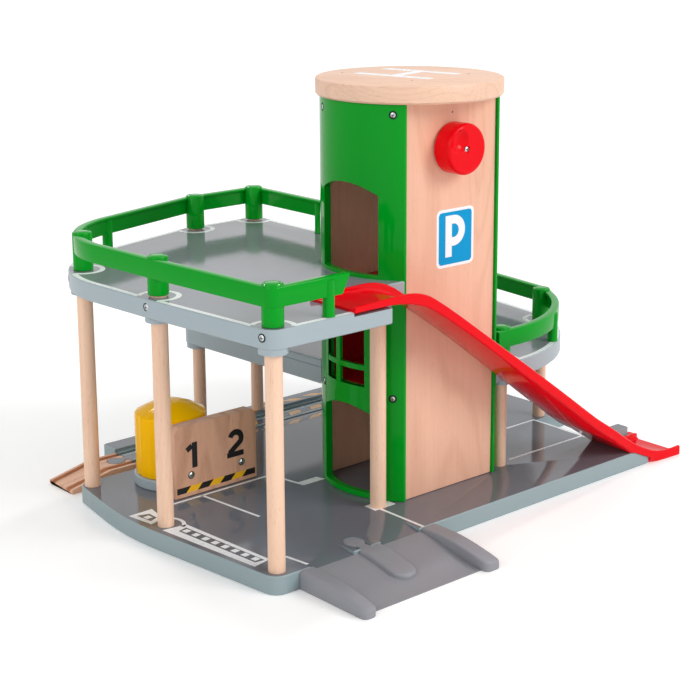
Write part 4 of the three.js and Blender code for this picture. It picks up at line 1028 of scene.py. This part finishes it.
# Tank: a yellow moulded drum with faint ribs down its side and a low cone top, set on a turned foot that
# is lacquered grey
finished("tank_foot", "lacquered", "grey_board", [deck_edge], ease=0.6)
tank_foot, tank_radius, tank_height = upright("tank_body")
tank_radius += 0.6
tank_height += 4
tank_side = tank_height - 9
rib_count = 20
rib_half_deep = 0.35
tank = bmesh.new()
turn_up(tank, [(0, 0), (tank_radius - 0.5, 0), (tank_radius, 0.8)]
        + [(tank_radius, z) for z in range(6, int(tank_side), 8)]
        + [(tank_radius, tank_side - 1.6), (tank_radius - 0.5, tank_side - 0.5),
           (tank_radius - 1.6, tank_side), (22, tank_height - 4.4), (13, tank_height - 0.9),
           (10.6, tank_height - 0.15), (0, tank_height)], steps=160)
for vert in tank.verts:
    if hypot(vert.co.x, vert.co.y) > (tank_radius - 1) * mm:
        turn = atan2(vert.co.y, vert.co.x)
        groove = rib_half_deep * (1 - cos(rib_count * turn)) * mm
        vert.co.x -= groove * cos(turn)
        vert.co.y -= groove * sin(turn)
bmesh.ops.translate(tank, vec=tank_foot, verts=tank.verts)
made_of(tank, "tank_body_moulding", "garage", "yellow_plastic", [yellow_gloss], "tank_body", sharp=50)

# Entry ramp: one grey moulding with two lanes, round-topped kerbs and an island between the lanes.
# A round peg on a neck drops into the board's socket.
ramp_plastic = painted("grey_moulding", (142, 143, 149), 0.36, 0.46, cloud_swing=0.06, speck_swing=0.04,
                       speck_size=1200.0, peel=0.1, shine=0.3)
ramp_low, ramp_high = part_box("entry_ramp")
ramp_left, ramp_right = ramp_low.x / mm, ramp_high.x / mm
ramp_back, ramp_front = -107.8, ramp_low.y / mm
lane_run = 70
lane_left, lane_right = ramp_left + 12, ramp_right - 15
lane_steps = 24
lane_top, lane_drop = 13, 12.2
kerb_top, kerb_toe = 16, 7
kerb_flat = 24
kerb_nose = 5.0
peg_top = kerb_top - 0.3
quarter = (0, 22, 45, 67, 90)


def kerb_height(y):
    """The kerb is flat beside the board and curves down to its toe."""
    share = min(max((ramp_back - kerb_flat - y) / (ramp_back - kerb_flat - ramp_front), 0), 1)
    return kerb_top - (kerb_top - kerb_toe) * (share ** 1.5)


def lane_height(y):
    """The lane leaves the board level and runs out flat on the floor."""
    share = min(max((ramp_back - y) / lane_run, 0), 1)
    return lane_top - lane_drop * (0.35 * share + 0.65 * share * share * (3 - 2 * share))


ramp = bmesh.new()
kerb_stops = [ramp_back - 3.0 * k for k in range(24)] + [ramp_front + d for d in (4, 2.6, 1.5, 0.7, 0.2, 0)]
kerb_drop = {len(kerb_stops) - 1: 0.9, len(kerb_stops) - 2: 0.25}
for first, last, soft_left, soft_right in [(ramp_left, ramp_left + 14, 3.0, 1.4),
                                           (ramp_right - 17, ramp_right, 1.6, 3.0)]:
    width = last - first

    def kerb_spot(i, j):
        y = kerb_stops[i]
        near_end = max(kerb_nose - (y - ramp_front), 0)
        inset = kerb_nose - sqrt(max(kerb_nose ** 2 - near_end ** 2, 0))
        top = kerb_height(y) - kerb_drop.get(i, 0)
        ring = [(0, 0.4), (0.4, 0), (width - 0.4, 0), (width, 0.4)]
        ring += [polar(width - soft_right, top - soft_right, soft_right, a) for a in quarter]
        ring += [polar(soft_left, top - soft_left, soft_left, 90 + a) for a in quarter]
        x, z = ring[j % len(ring)]
        return first + width / 2 + (x - width / 2) * (width / 2 - inset) / (width / 2), y, z
    close_up(ramp, grid_of(ramp, len(kerb_stops) - 1, 14, kerb_spot))


def lane_spot(i, j):
    y = ramp_back - lane_run * i / lane_steps
    high = lane_height(y)
    x, z = [(lane_left, 0), (lane_right, 0), (lane_right, high), (lane_left, high)][j % 4]
    return x, y, z


close_up(ramp, grid_of(ramp, lane_steps, 4, lane_spot))
island_left, island_right = -155, -132
island_half = (island_right - island_left) / 2
island_middle = (island_right + island_left) / 2
island_turn = ramp_back - 50 + island_half
island_soft = 2.2
island_columns = 24
island_rows = [ramp_back - 2.0 * k for k in range(int((ramp_back - island_turn) / 2) + 1)]
island_rows += [island_turn - island_half * sin(radians(a))
                for a in (8, 18, 28, 38, 48, 58, 67, 75, 82, 87, 90)]


def island_spot(i, j):
    y = island_rows[i]
    over = max(island_turn - y, 0)
    x = sin((2 * j / island_columns - 1) * pi / 2) * sqrt(max(island_half ** 2 - over ** 2, 0))
    inside = island_half - (hypot(x, over) if over else abs(x))
    drop = island_soft - sqrt(max(island_soft ** 2 - max(island_soft - inside, 0) ** 2, 0))
    return island_middle + x, y, min(kerb_top, lane_height(y) + 4.2) - drop


island_verts = grid_of(ramp, len(island_rows) - 1, island_columns, island_spot)
bmesh.ops.remove_doubles(ramp, verts=island_verts, dist=0.004 * mm)
rim = {edge for vert in island_verts if vert.is_valid for edge in vert.link_edges if edge.is_boundary}
for vert in verts_of(bmesh.ops.extrude_edge_only(ramp, edges=list(rim))):
    vert.co.z = (lane_height(vert.co.y / mm) - 1.2) * mm
bmesh.ops.recalc_face_normals(ramp, faces=ramp.faces)
turn_up(ramp, [(0, 8), (8.9, 8), (8.9, kerb_top - 1.0), (8.4, kerb_top - 0.45), (7.6, peg_top), (0, peg_top)],
        at(-146.6, -92, 0), steps=56)
neck_ring = [(-151.1, 8), (-142.1, 8), (-142.1, peg_top), (-151.1, peg_top)]
close_up(ramp, grid_of(ramp, 3, 4, lambda i, j: (neck_ring[j % 4][0], ramp_back - 1 + 3 * i,
                                                 neck_ring[j % 4][1])))
made_of(ramp, "entry_ramp_moulding", "entry", "grey_plastic", [ramp_plastic], "entry_ramp", sharp=45)

# Lift cord: a thin braided cord from the spool to the car's roof, which winds up as the car rises.
cord_weave = painted("white_cord", (232, 228, 216), 0.8, 0.9, cloud_swing=0.3, cloud_size=600.0,
                     shine=0.2)
cord_foot, cord_radius, cord_length = upright("lift_cord")
cord = bmesh.new()
turn_up(cord, [(0, 0)] + [(cord_radius, cord_length * k / 60) for k in range(61)] + [(0, cord_length)],
        Matrix.Translation(cord_foot), steps=16)
cord_piece = made_of(cord, "lift_cord_braided", None, "cord", [cord_weave], "lift_cord")
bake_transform(cord_piece)
